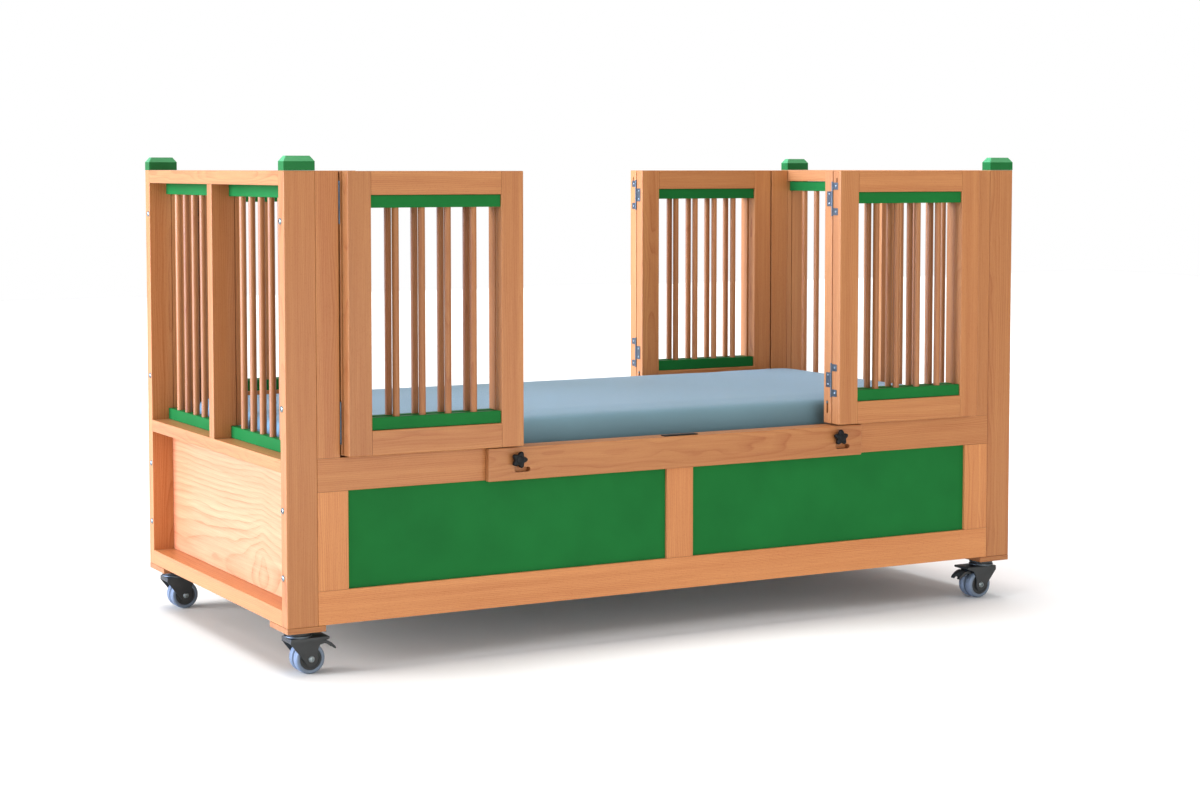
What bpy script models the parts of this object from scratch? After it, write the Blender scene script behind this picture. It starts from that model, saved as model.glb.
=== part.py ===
"""Adjustable care bed in a wooden case with folding slatted doors.

Metres, +Z up. The origin is on the floor under the middle of the bed, +X runs along the
bed towards the foot end, and -Y is the front. Most places are given as distances inwards
from the outer corner of the case, because the case is the same at all four corners.
"""

import math

import bmesh
import bpy
from mathutils import Matrix, Vector

# The case
LENGTH = 2.160
WIDTH = 1.050
HALF_LENGTH = LENGTH / 2
HALF_WIDTH = WIDTH / 2
FIT_GAP = 0.0003  # left between solids that touch
CUT_OVER = 0.010  # how far a cutter stands out of what it cuts
LAP = 0.001  # how far shapes that are joined run into each other
WELD = 1e-6
SMOOTH_ANGLE = math.radians(35)
POST_X = 0.078
POST_Y = 0.036
CASE_BOTTOM = 0.122
CASE_TOP = 1.205
CAP_TOP = 1.240
CAP_CHAMFER = 0.013
FOOT_X = 0.098
FOOT_Y = 0.120
FOOT_BOTTOM = 0.1076

# Side frames: lower rails, stiles, a middle post and a jamb beside each post
JAMB_EDGE = 0.137
SIDE_STILE_EDGE = 0.157
SIDE_RAIL_TOP = 0.5225
SIDE_WINDOW = (0.2045, 0.442)
SIDE_MULLION = 0.080
PANEL_RECESS = 0.008
PANEL_THICKNESS = 0.012
PANEL_LAP = 0.010
JAMB_TOP = 1.204

# End frames: posts, three rails and a narrow middle post over a closed panel
END_TOP_RAIL = 1.170
END_MID_RAIL = (0.4895, 0.522)
END_BOTTOM_RAIL_TOP = 0.1615
END_MULLION_WIDTH = 0.036
END_NOTCH_DEPTH = 0.046
END_PANEL_RECESS = 0.057
END_PANEL_THICKNESS = 0.012
END_STRIP = (0.0465, 0.0695)
STRIP_HEIGHT = 0.030
SPINDLE_RADIUS = 0.008
SPINDLE_SIDES = 12
SPINDLE_ROOT = 0.010
END_SPINDLES_PER_HALF = 6

# Door leaves: the inner one hangs on the jamb, the outer one lies folded in front of it
LEAF_BOTTOM = 0.5265
LEAF_TOP = 1.204
LEAF_THICKNESS = 0.035
LEAF_GAP = 0.003
INNER_LEAF = (0.1405, 0.6085)
OUTER_LEAF = (0.1445, 0.6085)
LEAF_STILE = 0.060
LEAF_BOTTOM_RAIL = 0.060
LEAF_TOP_RAIL = 0.057
LEAF_STRIP_DEPTH = 0.025
LEAF_SPINDLES = 4

# Slide bolt in the free edge of each inner leaf
BOLT_INSET = 0.012
BOLT_RADIUS = 0.004
BOLT_BORE = 0.0048
BOLT_SPAN = (0.528, 0.606)
BOLT_KNOB_Z = 0.583
BOLT_KNOB_RADIUS = 0.003
BOLT_KNOB_REACH = 0.0024
BOLT_KNOB_ROOM = 0.001
BOLT_TOP_ROOM = 0.004
BOLT_TRAVEL = 0.025
BOLT_HOLE_DEPTH = 0.030

# Lock boards and their star knobs
LOCK_BOARD_HALF = 0.559
LOCK_BOARD_Z = (0.440, 0.522)
LOCK_BOARD_THICKNESS = 0.018
KNOB_X = 0.4815
KNOB_Z = 0.492
KNOB_RADIUS = 0.0172
KNOB_LOBE = 0.0028
KNOB_LOBES = 5
STEPS_PER_LOBE = 8
KNOB_HUB = (0.0193, 0.0270)
KNOB_HEAD = (0.0268, 0.0400)
KNOB_HUB_RADIUS = 0.010
STUD_RADIUS = 0.004
STUD_DEPTH = 0.020
STUD_HOLE_RADIUS = 0.005
STUD_HOLE_DEPTH = 0.024
SLOT_HALF = 0.006
SLOT_FOOT_Z = 0.4655
SLOT_FOOT_END = 0.038

# Casters
CASTER_X = 0.049
CASTER_Y = 0.060
TRAIL = 0.0225
WHEEL_RADIUS = 0.0375
WHEEL_HALF_WIDTH = 0.0265
WHEEL_STEPS = 24
HUB_FACE_RADIUS = 0.0255
TREAD_STEP = (0.0275, 0.0015)
TREAD_SHOULDER = 0.0345
TREAD_EDGE = 0.003
TREAD_SPLIT = (0.0040, 0.0022)
FORK_HALF_WIDTH = 0.031
FORK_SLOT_HALF = 0.0275
FORK_TOP = 0.090
FORK_SLOT_TOP = 0.078
FORK_BOSS = 0.0165
FORK_BACK = (-0.030, 0.072)
FORK_NOSE = ((0.069, 0.083), (0.047, 0.0765), (0.037, 0.060))
FORK_NOSE_X = 0.069
FORK_BOSS_ARC = range(20, -161, -30)
FORK_REACH = 0.1
SWIVEL_SIDES = 24
SWIVEL_RADIUS = 0.033
SWIVEL_TOP = 0.104
AXLE_RADIUS = 0.004
AXLE_PLAY = 0.0008
PEDAL_PIVOT = (0.054, 0.0745)
PEDAL_HALF_WIDTH = 0.020
PEDAL_TOP = ((0.048, 0.0725), (0.061, 0.0775), (0.074, 0.0730), (0.090, 0.0595))
PEDAL_UNDERSIDE = ((0.087, 0.0565), (0.072, 0.0675), (0.061, 0.0720), (0.050, 0.0690))

# Lift: two telescopic columns on a beam between the end frames
WALL = 0.003
COLUMN_X = 0.500
BEAM_HALF_WIDTH = 0.040
BEAM_Z = (0.1225, 0.160)
OUTER_TUBE = (0.050, 0.046)
MIDDLE_TUBE = (0.045, 0.041)
INNER_TUBE = 0.040
OUTER_TUBE_TOP = 0.405
OUTER_TUBE_FLOOR = 0.140
MIDDLE_TUBE_Z = (0.145, 0.4145)
INNER_TUBE_BOTTOM = 0.150
SYNC_BAR_HALF = 0.010
SYNC_BAR_Z = (0.4060, 0.4140)

# Lying frame, back section and leg section
FRAME_Z = (0.416, 0.446)
FRAME_RAIL_Y = (0.385, 0.415)
FRAME_END_X = 0.960
FRAME_CROSS_HALF = 0.030
DECK_Z = (0.460, 0.4695)
DECK_HALF_WIDTH = 0.420
SLAT_WIDTH = 0.062
SLAT_WALL = 0.002
BACK_HINGE_X = -0.200
LEG_HINGE_X = 0.220
HINGE_Z = 0.4533
SECTION_RAIL_Y = (0.3475, 0.3725)
SECTION_RAIL_HALF = 0.0070
SECTION_END_X = 0.985
EYE_RADIUS = 0.0095
EYE_BORE = 0.0045
PIN_RADIUS = 0.0040
LUG_Y = (0.3735, 0.3900)
LUG_HALF = 0.012
LUG_TOP = 0.4633
LUG_DROP = 0.010
PIN_ROOT = 0.005
RISER_INSET = 0.004
RISER_LAP = 0.002
TUBE_TOP_DROP = 0.002
SLAT_SETBACK = 0.040
BACK_SLATS = 7
LEG_SLATS = 7
SEAT_SLATS = 3

# Mattress, cut with a V over each hinge so that its pieces never meet
MATTRESS_Z = (0.470, 0.590)
MATTRESS_HALF_LENGTH = 0.995
MATTRESS_HALF_WIDTH = 0.450
BACK_HALF_ANGLE = math.radians(31.0)
LEG_HALF_ANGLE = math.radians(14.0)

ENDS = {"left": -1, "right": 1}
SIDES = {"front": -1, "rear": 1}

PARTS = "adjustable_care_bed"


def make_material(name, colour, roughness, metallic=0.0):
    material = bpy.data.materials.new(name)
    material.use_nodes = True
    shader = material.node_tree.nodes["Principled BSDF"]
    shader.inputs["Base Color"].default_value = (*colour, 1.0)
    shader.inputs["Roughness"].default_value = roughness
    shader.inputs["Metallic"].default_value = metallic
    material.diffuse_color = (*colour, 1.0)
    return material


def make_materials():
    return {
        "beech": make_material("beech", (0.58, 0.31, 0.14), 0.45),
        "green": make_material("green_paint", (0.015, 0.17, 0.045), 0.38),
        "steel": make_material("coated_steel", (0.42, 0.44, 0.46), 0.42, 0.6),
        "zinc": make_material("zinc", (0.55, 0.58, 0.62), 0.35, 1.0),
        "mattress": make_material("mattress_cover", (0.36, 0.47, 0.56), 0.8),
        "black": make_material("black_plastic", (0.012, 0.013, 0.013), 0.45),
        "fork": make_material("dark_grey_plastic", (0.045, 0.045, 0.043), 0.5),
        "tyre": make_material("grey_tyre", (0.25, 0.31, 0.42), 0.6),
    }


def clear_scene():
    for thing in list(bpy.data.objects):
        bpy.data.objects.remove(thing)


def loose_object(mesh):
    """A new object in the parts collection, at the world's origin."""
    thing = bpy.data.objects.new("shape", mesh)
    bpy.data.collections[PARTS].objects.link(thing)
    return thing


def object_from(bm):
    mesh = bpy.data.meshes.new("shape")
    bm.to_mesh(mesh)
    bm.free()
    return loose_object(mesh)


def box(x, y, z):
    """A block between three (low, high) pairs."""
    size = [high - low for low, high in (x, y, z)]
    centre = [(high + low) / 2 for low, high in (x, y, z)]
    bm = bmesh.new()
    matrix = Matrix.Translation(centre) @ Matrix.Diagonal((*size, 1.0))
    bmesh.ops.create_cube(bm, size=1.0, matrix=matrix)
    return object_from(bm)


def rod(start, end, radius, sides=SPINDLE_SIDES):
    """A round bar from start to end."""
    start, end = Vector(start), Vector(end)
    along = end - start
    turn = Vector((0, 0, 1)).rotation_difference(along).to_matrix().to_4x4()
    bm = bmesh.new()
    bmesh.ops.create_cone(
        bm,
        cap_ends=True,
        segments=sides,
        radius1=radius,
        radius2=radius,
        depth=along.length,
        matrix=Matrix.Translation((start + end) / 2) @ turn,
    )
    return object_from(bm)


def plate(points, low, high):
    """An outline of (x, z) points, extruded along Y from low to high."""
    curve = bpy.data.curves.new("outline", "CURVE")
    curve.dimensions = "2D"
    curve.fill_mode = "BOTH"
    curve.extrude = (high - low) / 2
    spline = curve.splines.new("POLY")
    spline.points.add(len(points) - 1)
    for point, (x, z) in zip(spline.points, points):
        point.co = (x, z, 0.0, 1.0)
    spline.use_cyclic_u = True
    outline = bpy.data.objects.new("outline", curve)
    bpy.data.collections[PARTS].objects.link(outline)
    graph = bpy.context.evaluated_depsgraph_get()
    mesh = bpy.data.meshes.new_from_object(outline.evaluated_get(graph))
    bpy.data.objects.remove(outline)
    bm = bmesh.new()
    bm.from_mesh(mesh)
    bmesh.ops.remove_doubles(bm, verts=bm.verts, dist=WELD)
    upright = Matrix.Rotation(math.pi / 2, 4, "X")
    bmesh.ops.transform(bm, matrix=Matrix.Translation((0, (low + high) / 2, 0)) @ upright, verts=bm.verts)
    bmesh.ops.recalc_face_normals(bm, faces=bm.faces)
    return object_from(bm)


def solid(shapes, cuts=()):
    """One solid: the union of the shapes, less the cuts. The tools are removed."""
    whole = shapes[0]
    steps = [("UNION", shape) for shape in shapes[1:]] + [("DIFFERENCE", cut) for cut in cuts]
    for operation, tool in steps:
        modifier = whole.modifiers.new(operation.lower(), "BOOLEAN")
        modifier.operation = operation
        modifier.solver = "EXACT"
        modifier.object = tool
    graph = bpy.context.evaluated_depsgraph_get()
    mesh = bpy.data.meshes.new_from_object(whole.evaluated_get(graph))
    whole.modifiers.clear()
    whole.data = mesh
    for _, tool in steps:
        bpy.data.objects.remove(tool)
    return whole


def world_place(thing):
    """Where an empty is, from its own location and its parents'."""
    place = Vector((0, 0, 0))
    while thing:
        place += thing.location
        thing = thing.parent
    return place


def add_pivot(name, place, parent=None):
    """An empty on a joint's axis. What moves with the joint is parented to it."""
    empty = bpy.data.objects.new(name, None)
    empty.empty_display_size = 0.04
    bpy.data.collections[PARTS].objects.link(empty)
    empty.parent = parent
    empty.location = Vector(place) - world_place(parent)
    return empty


def finish(name, thing, material, pivot=None):
    """Names a solid, gives it its material and puts its origin on its pivot."""
    thing.name = name
    thing.data.name = name
    thing.data.materials.clear()
    thing.data.materials.append(material)
    thing.data.transform(Matrix.Translation(-world_place(pivot)))
    thing.parent = pivot
    thing.data.shade_smooth()
    thing.data.set_sharp_from_angle(angle=SMOOTH_ANGLE)
    return thing


def inwards(sign, half, near, far):
    """The (low, high) pair between two distances inwards from the outer face."""
    return tuple(sorted((sign * (half - near), sign * (half - far))))


def along(end, near, far):
    return inwards(end, HALF_LENGTH, near, far)


def across(side, near, far):
    return inwards(side, HALF_WIDTH, near, far)


# ---------------------------------------------------------------- the wooden case


def build_end_frame(name, end, material):
    """Posts, rails, middle post and foot blocks, glued up as one frame."""
    inner_y = HALF_WIDTH - POST_Y
    full = (-inner_y, inner_y)
    through = along(end, -CUT_OVER, POST_X + CUT_OVER)
    windows = [box(through, full, (END_BOTTOM_RAIL_TOP, END_MID_RAIL[0]))]
    for sign in (-1, 1):
        half = tuple(sorted((sign * END_MULLION_WIDTH / 2, sign * inner_y)))
        windows.append(box(through, half, (END_MID_RAIL[1], END_TOP_RAIL)))
    notch = along(end, END_NOTCH_DEPTH, POST_X + CUT_OVER)
    notch_height = STRIP_HEIGHT + 2 * FIT_GAP
    windows.append(box(notch, full, (END_MID_RAIL[1], END_MID_RAIL[1] + notch_height)))
    windows.append(box(notch, full, (END_TOP_RAIL - notch_height, END_TOP_RAIL)))
    board = box(along(end, 0, POST_X), (-HALF_WIDTH, HALF_WIDTH), (CASE_BOTTOM, CASE_TOP))
    feet = [
        box(along(end, 0, FOOT_X), across(side, 0, FOOT_Y), (FOOT_BOTTOM, CASE_BOTTOM + FIT_GAP / 3))
        for side in SIDES.values()
    ]
    return finish(name, solid([board, *feet], windows), material)


def build_post_cap(name, end, side, material):
    """A block on the post's top, with a 45 degree chamfer all round."""
    side_top = CAP_TOP - CAP_CHAMFER
    cap = box(along(end, 0, POST_X), across(side, 0, POST_Y), (CASE_TOP + FIT_GAP, side_top))
    bm = bmesh.new()
    bm.from_mesh(cap.data)
    top = [face for face in bm.faces if face.normal.z > 0.5]
    bmesh.ops.inset_region(bm, faces=top, thickness=CAP_CHAMFER, depth=CAP_CHAMFER)
    bm.to_mesh(cap.data)
    bm.free()
    return finish(name, cap, material)


def build_side_frame(name, side, material):
    """Rails, stiles, middle post and jambs. A rebate behind them holds the panel."""
    reach = HALF_LENGTH - POST_X - FIT_GAP
    through = across(side, -CUT_OVER, POST_Y + CUT_OVER)
    height = (CASE_BOTTOM + FIT_GAP, JAMB_TOP)
    board = box((-reach, reach), across(side, 0, POST_Y), height)
    half_opening = HALF_LENGTH - JAMB_EDGE
    cuts = [box((-half_opening, half_opening), through, (SIDE_RAIL_TOP, JAMB_TOP + CUT_OVER))]
    window_end = HALF_LENGTH - SIDE_STILE_EDGE
    for sign in (-1, 1):
        window = tuple(sorted((sign * SIDE_MULLION / 2, sign * window_end)))
        cuts.append(box(window, through, SIDE_WINDOW))
    rebate = across(side, PANEL_RECESS, POST_Y + CUT_OVER)
    lap_z = (SIDE_WINDOW[0] - PANEL_LAP, SIDE_WINDOW[1] + PANEL_LAP)
    lap_x = window_end + PANEL_LAP
    cuts.append(box((-lap_x, lap_x), rebate, lap_z))
    outer_face = side * HALF_WIDTH
    for sign in (-1, 1):
        start = (sign * KNOB_X, outer_face + side * CUT_OVER, KNOB_Z)
        stop = (sign * KNOB_X, outer_face - side * STUD_HOLE_DEPTH, KNOB_Z)
        cuts.append(rod(start, stop, STUD_HOLE_RADIUS))
        x, y = bolt_place(sign, side)
        start = (x, y, SIDE_RAIL_TOP - BOLT_HOLE_DEPTH)
        cuts.append(rod(start, (x, y, SIDE_RAIL_TOP + CUT_OVER), BOLT_BORE))
    return finish(name, solid([board], cuts), material)


def build_side_panel(name, side, material):
    """One board behind both windows of a side frame."""
    lap_x = HALF_LENGTH - SIDE_STILE_EDGE + PANEL_LAP - FIT_GAP
    front = PANEL_RECESS + FIT_GAP
    depth = across(side, front, front + PANEL_THICKNESS)
    low = SIDE_WINDOW[0] - PANEL_LAP + FIT_GAP
    high = SIDE_WINDOW[1] + PANEL_LAP - FIT_GAP
    return finish(name, box((-lap_x, lap_x), depth, (low, high)), material)


def build_end_panel(name, end, material):
    inner_y = HALF_WIDTH - POST_Y - FIT_GAP
    depth = along(end, END_PANEL_RECESS, END_PANEL_RECESS + END_PANEL_THICKNESS)
    height = (END_BOTTOM_RAIL_TOP + FIT_GAP, END_MID_RAIL[0] - FIT_GAP)
    return finish(name, box(depth, (-inner_y, inner_y), height), material)


def build_end_grille(name, end, material):
    """Two strips that pass through notches in the middle post, joined by round spindles."""
    inner_y = HALF_WIDTH - POST_Y - FIT_GAP
    depth = along(end, *END_STRIP)
    low = END_MID_RAIL[1] + FIT_GAP
    high = END_TOP_RAIL - FIT_GAP
    shapes = [
        box(depth, (-inner_y, inner_y), (low, low + STRIP_HEIGHT)),
        box(depth, (-inner_y, inner_y), (high - STRIP_HEIGHT, high)),
    ]
    x = sum(depth) / 2
    inner_edge = END_MULLION_WIDTH / 2
    pitch = (inner_y - inner_edge) / (END_SPINDLES_PER_HALF + 1)
    roots = (low + STRIP_HEIGHT - SPINDLE_ROOT, high - STRIP_HEIGHT + SPINDLE_ROOT)
    for sign in (-1, 1):
        for number in range(1, END_SPINDLES_PER_HALF + 1):
            y = sign * (inner_edge + number * pitch)
            shapes.append(rod((x, y, roots[0]), (x, y, roots[1]), SPINDLE_RADIUS))
    return finish(name, solid(shapes), material)


# ---------------------------------------------------------------- doors


def bolt_place(end, side):
    """Centre of the slide bolt in the inner leaf's free edge."""
    x = end * (HALF_LENGTH - INNER_LEAF[1] + BOLT_INSET)
    y = side * (HALF_WIDTH - LEAF_THICKNESS / 2)
    return x, y


def leaf_depth(side, folded):
    """The (low, high) pair of a leaf across the bed, in the side's plane or in front of it."""
    if folded:
        return across(side, -LEAF_GAP - LEAF_THICKNESS, -LEAF_GAP)
    return across(side, 0, LEAF_THICKNESS)


def build_leaf_frame(name, end, side, folded, material, pivot):
    near, far = OUTER_LEAF if folded else INNER_LEAF
    depth = leaf_depth(side, folded)
    board = box(along(end, near, far), depth, (LEAF_BOTTOM, LEAF_TOP))
    through = (depth[0] - CUT_OVER, depth[1] + CUT_OVER)
    window_z = (LEAF_BOTTOM + LEAF_BOTTOM_RAIL, LEAF_TOP - LEAF_TOP_RAIL)
    cuts = [box(along(end, near + LEAF_STILE, far - LEAF_STILE), through, window_z)]
    if not folded:
        x, y = bolt_place(end, side)
        bore = ((x, y, LEAF_BOTTOM - CUT_OVER), (x, y, BOLT_SPAN[1] + BOLT_TOP_ROOM))
        cuts.append(rod(*bore, BOLT_BORE))
        knob_slot = BOLT_KNOB_RADIUS + BOLT_KNOB_ROOM
        slot_x = along(end, far - BOLT_INSET, far + CUT_OVER)
        slot_z = (BOLT_KNOB_Z - BOLT_TRAVEL - knob_slot, BOLT_KNOB_Z + knob_slot)
        cuts.append(box(slot_x, (y - knob_slot, y + knob_slot), slot_z))
    return finish(name, solid([board], cuts), material, pivot)


def build_leaf_grille(name, end, side, folded, material, pivot):
    near, far = OUTER_LEAF if folded else INNER_LEAF
    y = sum(leaf_depth(side, folded)) / 2
    depth = (y - LEAF_STRIP_DEPTH / 2, y + LEAF_STRIP_DEPTH / 2)
    width = along(end, near + LEAF_STILE + FIT_GAP, far - LEAF_STILE - FIT_GAP)
    low = LEAF_BOTTOM + LEAF_BOTTOM_RAIL + FIT_GAP
    high = LEAF_TOP - LEAF_TOP_RAIL - FIT_GAP
    shapes = [
        box(width, depth, (low, low + STRIP_HEIGHT)),
        box(width, depth, (high - STRIP_HEIGHT, high)),
    ]
    pitch = (width[1] - width[0]) / (LEAF_SPINDLES + 1)
    roots = (low + STRIP_HEIGHT - SPINDLE_ROOT, high - STRIP_HEIGHT + SPINDLE_ROOT)
    for number in range(1, LEAF_SPINDLES + 1):
        x = width[0] + number * pitch
        shapes.append(rod((x, y, roots[0]), (x, y, roots[1]), SPINDLE_RADIUS))
    return finish(name, solid(shapes), material, pivot)


def build_slide_bolt(name, end, side, material, leaf_pivot):
    """A round pin in the leaf's edge, with a finger knob that stands out of its slot."""
    x, y = bolt_place(end, side)
    pivot = add_pivot(name + "_slide", (x, y, BOLT_KNOB_Z), leaf_pivot)
    pin = rod((x, y, BOLT_SPAN[0]), (x, y, BOLT_SPAN[1]), BOLT_RADIUS)
    knob_end = x - end * (BOLT_INSET + BOLT_KNOB_REACH)
    knob = rod((x, y, BOLT_KNOB_Z), (knob_end, y, BOLT_KNOB_Z), BOLT_KNOB_RADIUS)
    return finish(name, solid([pin, knob]), material, pivot)


def build_door(end_name, side_name, materials):
    """Two hinged leaves. Both pivots stand upright, just in front of the side's face."""
    end, side = ENDS[end_name], SIDES[side_name]
    corner = f"{side_name}_{end_name}"
    axis_y = side * (HALF_WIDTH + LEAF_GAP / 2)
    jamb_x = end * (HALF_LENGTH - (JAMB_EDGE + INNER_LEAF[0]) / 2)
    fold_x = end * (HALF_LENGTH - INNER_LEAF[1] - LEAF_GAP / 2)
    jamb_pivot = add_pivot(f"door_pivot_{corner}", (jamb_x, axis_y, LEAF_BOTTOM))
    fold_pivot = add_pivot(f"fold_pivot_{corner}", (fold_x, axis_y, LEAF_BOTTOM), jamb_pivot)
    for kind, folded, pivot in (("inner", False, jamb_pivot), ("outer", True, fold_pivot)):
        frame_name = f"{kind}_leaf_frame_{corner}"
        build_leaf_frame(frame_name, end, side, folded, materials["beech"], pivot)
        grille_name = f"{kind}_leaf_grille_{corner}"
        build_leaf_grille(grille_name, end, side, folded, materials["green"], pivot)
    build_slide_bolt(f"slide_bolt_{corner}", end, side, materials["zinc"], jamb_pivot)


# ---------------------------------------------------------------- lock boards


def build_lock_board(name, side, material):
    """A board on the side rail with two L-shaped slots for the knobs' studs."""
    depth = across(side, -LOCK_BOARD_THICKNESS - FIT_GAP, -FIT_GAP)
    through = (depth[0] - CUT_OVER, depth[1] + CUT_OVER)
    board = box((-LOCK_BOARD_HALF, LOCK_BOARD_HALF), depth, LOCK_BOARD_Z)
    cuts = []
    towards = -side
    for sign in (-1, 1):
        x = sign * KNOB_X
        upright_z = (SLOT_FOOT_Z - SLOT_HALF, KNOB_Z + SLOT_HALF)
        cuts.append(box((x - SLOT_HALF, x + SLOT_HALF), through, upright_z))
        foot_x = tuple(sorted((x - towards * SLOT_HALF / 2, x + towards * SLOT_FOOT_END)))
        cuts.append(box(foot_x, through, (SLOT_FOOT_Z - SLOT_HALF, SLOT_FOOT_Z + SLOT_HALF)))
    return finish(name, solid([board], cuts), material)


def build_star_knob(name, end, side, material):
    """A lobed head and hub on a stud that runs through the board into the rail."""
    x = end * KNOB_X
    face = side * HALF_WIDTH
    pivot = add_pivot(name + "_pivot", (x, face, KNOB_Z))
    points = []
    count = KNOB_LOBES * STEPS_PER_LOBE
    for step in range(count):
        angle = math.tau * step / count
        radius = KNOB_RADIUS + KNOB_LOBE * math.cos(KNOB_LOBES * angle)
        points.append((x + radius * math.cos(angle), KNOB_Z + radius * math.sin(angle)))
    head_y = sorted(face + side * distance for distance in KNOB_HEAD)
    head = plate(points, *head_y)
    hub_ends = [(x, face + side * distance, KNOB_Z) for distance in KNOB_HUB]
    hub = rod(*hub_ends, KNOB_HUB_RADIUS)
    stud_start = (x, face - side * STUD_DEPTH, KNOB_Z)
    stud = rod(stud_start, (x, face + side * KNOB_HEAD[0], KNOB_Z), STUD_RADIUS)
    return finish(name, solid([head, hub, stud]), material, pivot)


# ---------------------------------------------------------------- casters


def build_fork(name, swivel, trail_sign, material, pivot):
    """A forked housing under a round swivel head, with the wheel's axle across it."""
    x, y = swivel
    outline = [(FORK_BACK[0], FORK_TOP), (FORK_NOSE_X, FORK_TOP), *FORK_NOSE]
    for degrees in FORK_BOSS_ARC:
        angle = math.radians(degrees)
        boss_x = TRAIL + FORK_BOSS * math.cos(angle)
        outline.append((boss_x, WHEEL_RADIUS + FORK_BOSS * math.sin(angle)))
    outline.append(FORK_BACK)
    points = [(x + trail_sign * u, z) for u, z in outline]
    housing = plate(points, y - FORK_HALF_WIDTH, y + FORK_HALF_WIDTH)
    slot_y = (y - FORK_SLOT_HALF, y + FORK_SLOT_HALF)
    slot = box((x - FORK_REACH, x + FORK_REACH), slot_y, (0, FORK_SLOT_TOP))
    housing = solid([housing], [slot])
    head = rod((x, y, FORK_TOP - LAP), (x, y, SWIVEL_TOP), SWIVEL_RADIUS, SWIVEL_SIDES)
    axle_x = x + trail_sign * TRAIL
    axle_half = FORK_HALF_WIDTH - LAP
    axle_ends = [(axle_x, y + sign * axle_half, WHEEL_RADIUS) for sign in (-1, 1)]
    axle = rod(*axle_ends, AXLE_RADIUS)
    return finish(name, solid([housing, head, axle]), material, pivot)


def build_wheel(name, centre, material, pivot):
    """Two treads on one hub, turned as a profile and bored for the axle."""
    half = WHEEL_HALF_WIDTH
    bore = AXLE_RADIUS + AXLE_PLAY
    upper = [(bore, half), (HUB_FACE_RADIUS, half), (TREAD_STEP[0], half - TREAD_STEP[1])]
    upper += [(TREAD_SHOULDER, half), (WHEEL_RADIUS, half - TREAD_EDGE)]
    upper += [(WHEEL_RADIUS, TREAD_SPLIT[0]), (TREAD_SHOULDER, TREAD_SPLIT[1])]
    profile = upper + [(radius, -height) for radius, height in reversed(upper)]
    facet = 1 / math.cos(math.pi / WHEEL_STEPS)
    bm = bmesh.new()
    verts = [bm.verts.new((radius * facet, 0.0, height)) for radius, height in profile]
    for first, second in zip(verts, verts[1:] + verts[:1]):
        bm.edges.new((first, second))
    wheel = object_from(bm)
    screw = wheel.modifiers.new("turn", "SCREW")
    screw.axis = "Z"
    screw.steps = WHEEL_STEPS
    screw.render_steps = WHEEL_STEPS
    screw.use_merge_vertices = True
    screw.merge_threshold = WELD
    wheel = solid([wheel])
    half_step = Matrix.Rotation(math.pi / WHEEL_STEPS, 4, "Z")
    sideways = Matrix.Rotation(math.pi / 2, 4, "X")
    wheel.data.transform(Matrix.Translation(centre) @ sideways @ half_step)
    return finish(name, wheel, material, pivot)


def build_pedal(name, swivel, trail_sign, material, pivot):
    """A bent lever that comes out under the trailing end of the housing."""
    x, y = swivel
    points = [(x + trail_sign * u, z) for u, z in PEDAL_TOP + PEDAL_UNDERSIDE]
    pedal = plate(points, y - PEDAL_HALF_WIDTH, y + PEDAL_HALF_WIDTH)
    return finish(name, pedal, material, pivot)


def build_caster(end_name, side_name, materials):
    """The wheel trails towards the middle of the bed."""
    end, side = ENDS[end_name], SIDES[side_name]
    corner = f"{side_name}_{end_name}"
    x = end * (HALF_LENGTH - CASTER_X)
    y = side * (HALF_WIDTH - CASTER_Y)
    trail_sign = -end
    swivel_pivot = add_pivot(f"caster_swivel_{corner}", (x, y, SWIVEL_TOP))
    centre = (x + trail_sign * TRAIL, y, WHEEL_RADIUS)
    wheel_pivot = add_pivot(f"caster_axle_{corner}", centre, swivel_pivot)
    pedal_place = (x + trail_sign * PEDAL_PIVOT[0], y, PEDAL_PIVOT[1])
    pedal_pivot = add_pivot(f"caster_pedal_{corner}", pedal_place, swivel_pivot)
    build_fork(f"caster_fork_{corner}", (x, y), trail_sign, materials["fork"], swivel_pivot)
    build_wheel(f"caster_wheel_{corner}", centre, materials["tyre"], wheel_pivot)
    build_pedal(f"brake_pedal_{corner}", (x, y), trail_sign, materials["fork"], pedal_pivot)


# ---------------------------------------------------------------- lift and lying surface


def square(x, half):
    """The x and y pairs of a square tube centred on a column."""
    return (x - half, x + half), (-half, half)


def build_lift_base(name, material):
    """A box beam between the end frames that carries the two outer tubes."""
    reach = HALF_LENGTH - POST_X - FIT_GAP
    shapes = [box((-reach, reach), (-BEAM_HALF_WIDTH, BEAM_HALF_WIDTH), BEAM_Z)]
    hollow_y = (WALL - BEAM_HALF_WIDTH, BEAM_HALF_WIDTH - WALL)
    hollow_z = (BEAM_Z[0] + WALL, BEAM_Z[1] - WALL)
    bores = [box((-reach - CUT_OVER, reach + CUT_OVER), hollow_y, hollow_z)]
    for sign in (-1, 1):
        tube = square(sign * COLUMN_X, OUTER_TUBE[0])
        shapes.append(box(*tube, (BEAM_Z[0], OUTER_TUBE_TOP)))
        bore = square(sign * COLUMN_X, OUTER_TUBE[1])
        bores.append(box(*bore, (OUTER_TUBE_FLOOR, OUTER_TUBE_TOP + CUT_OVER)))
    return finish(name, solid(shapes, bores), material)


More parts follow.
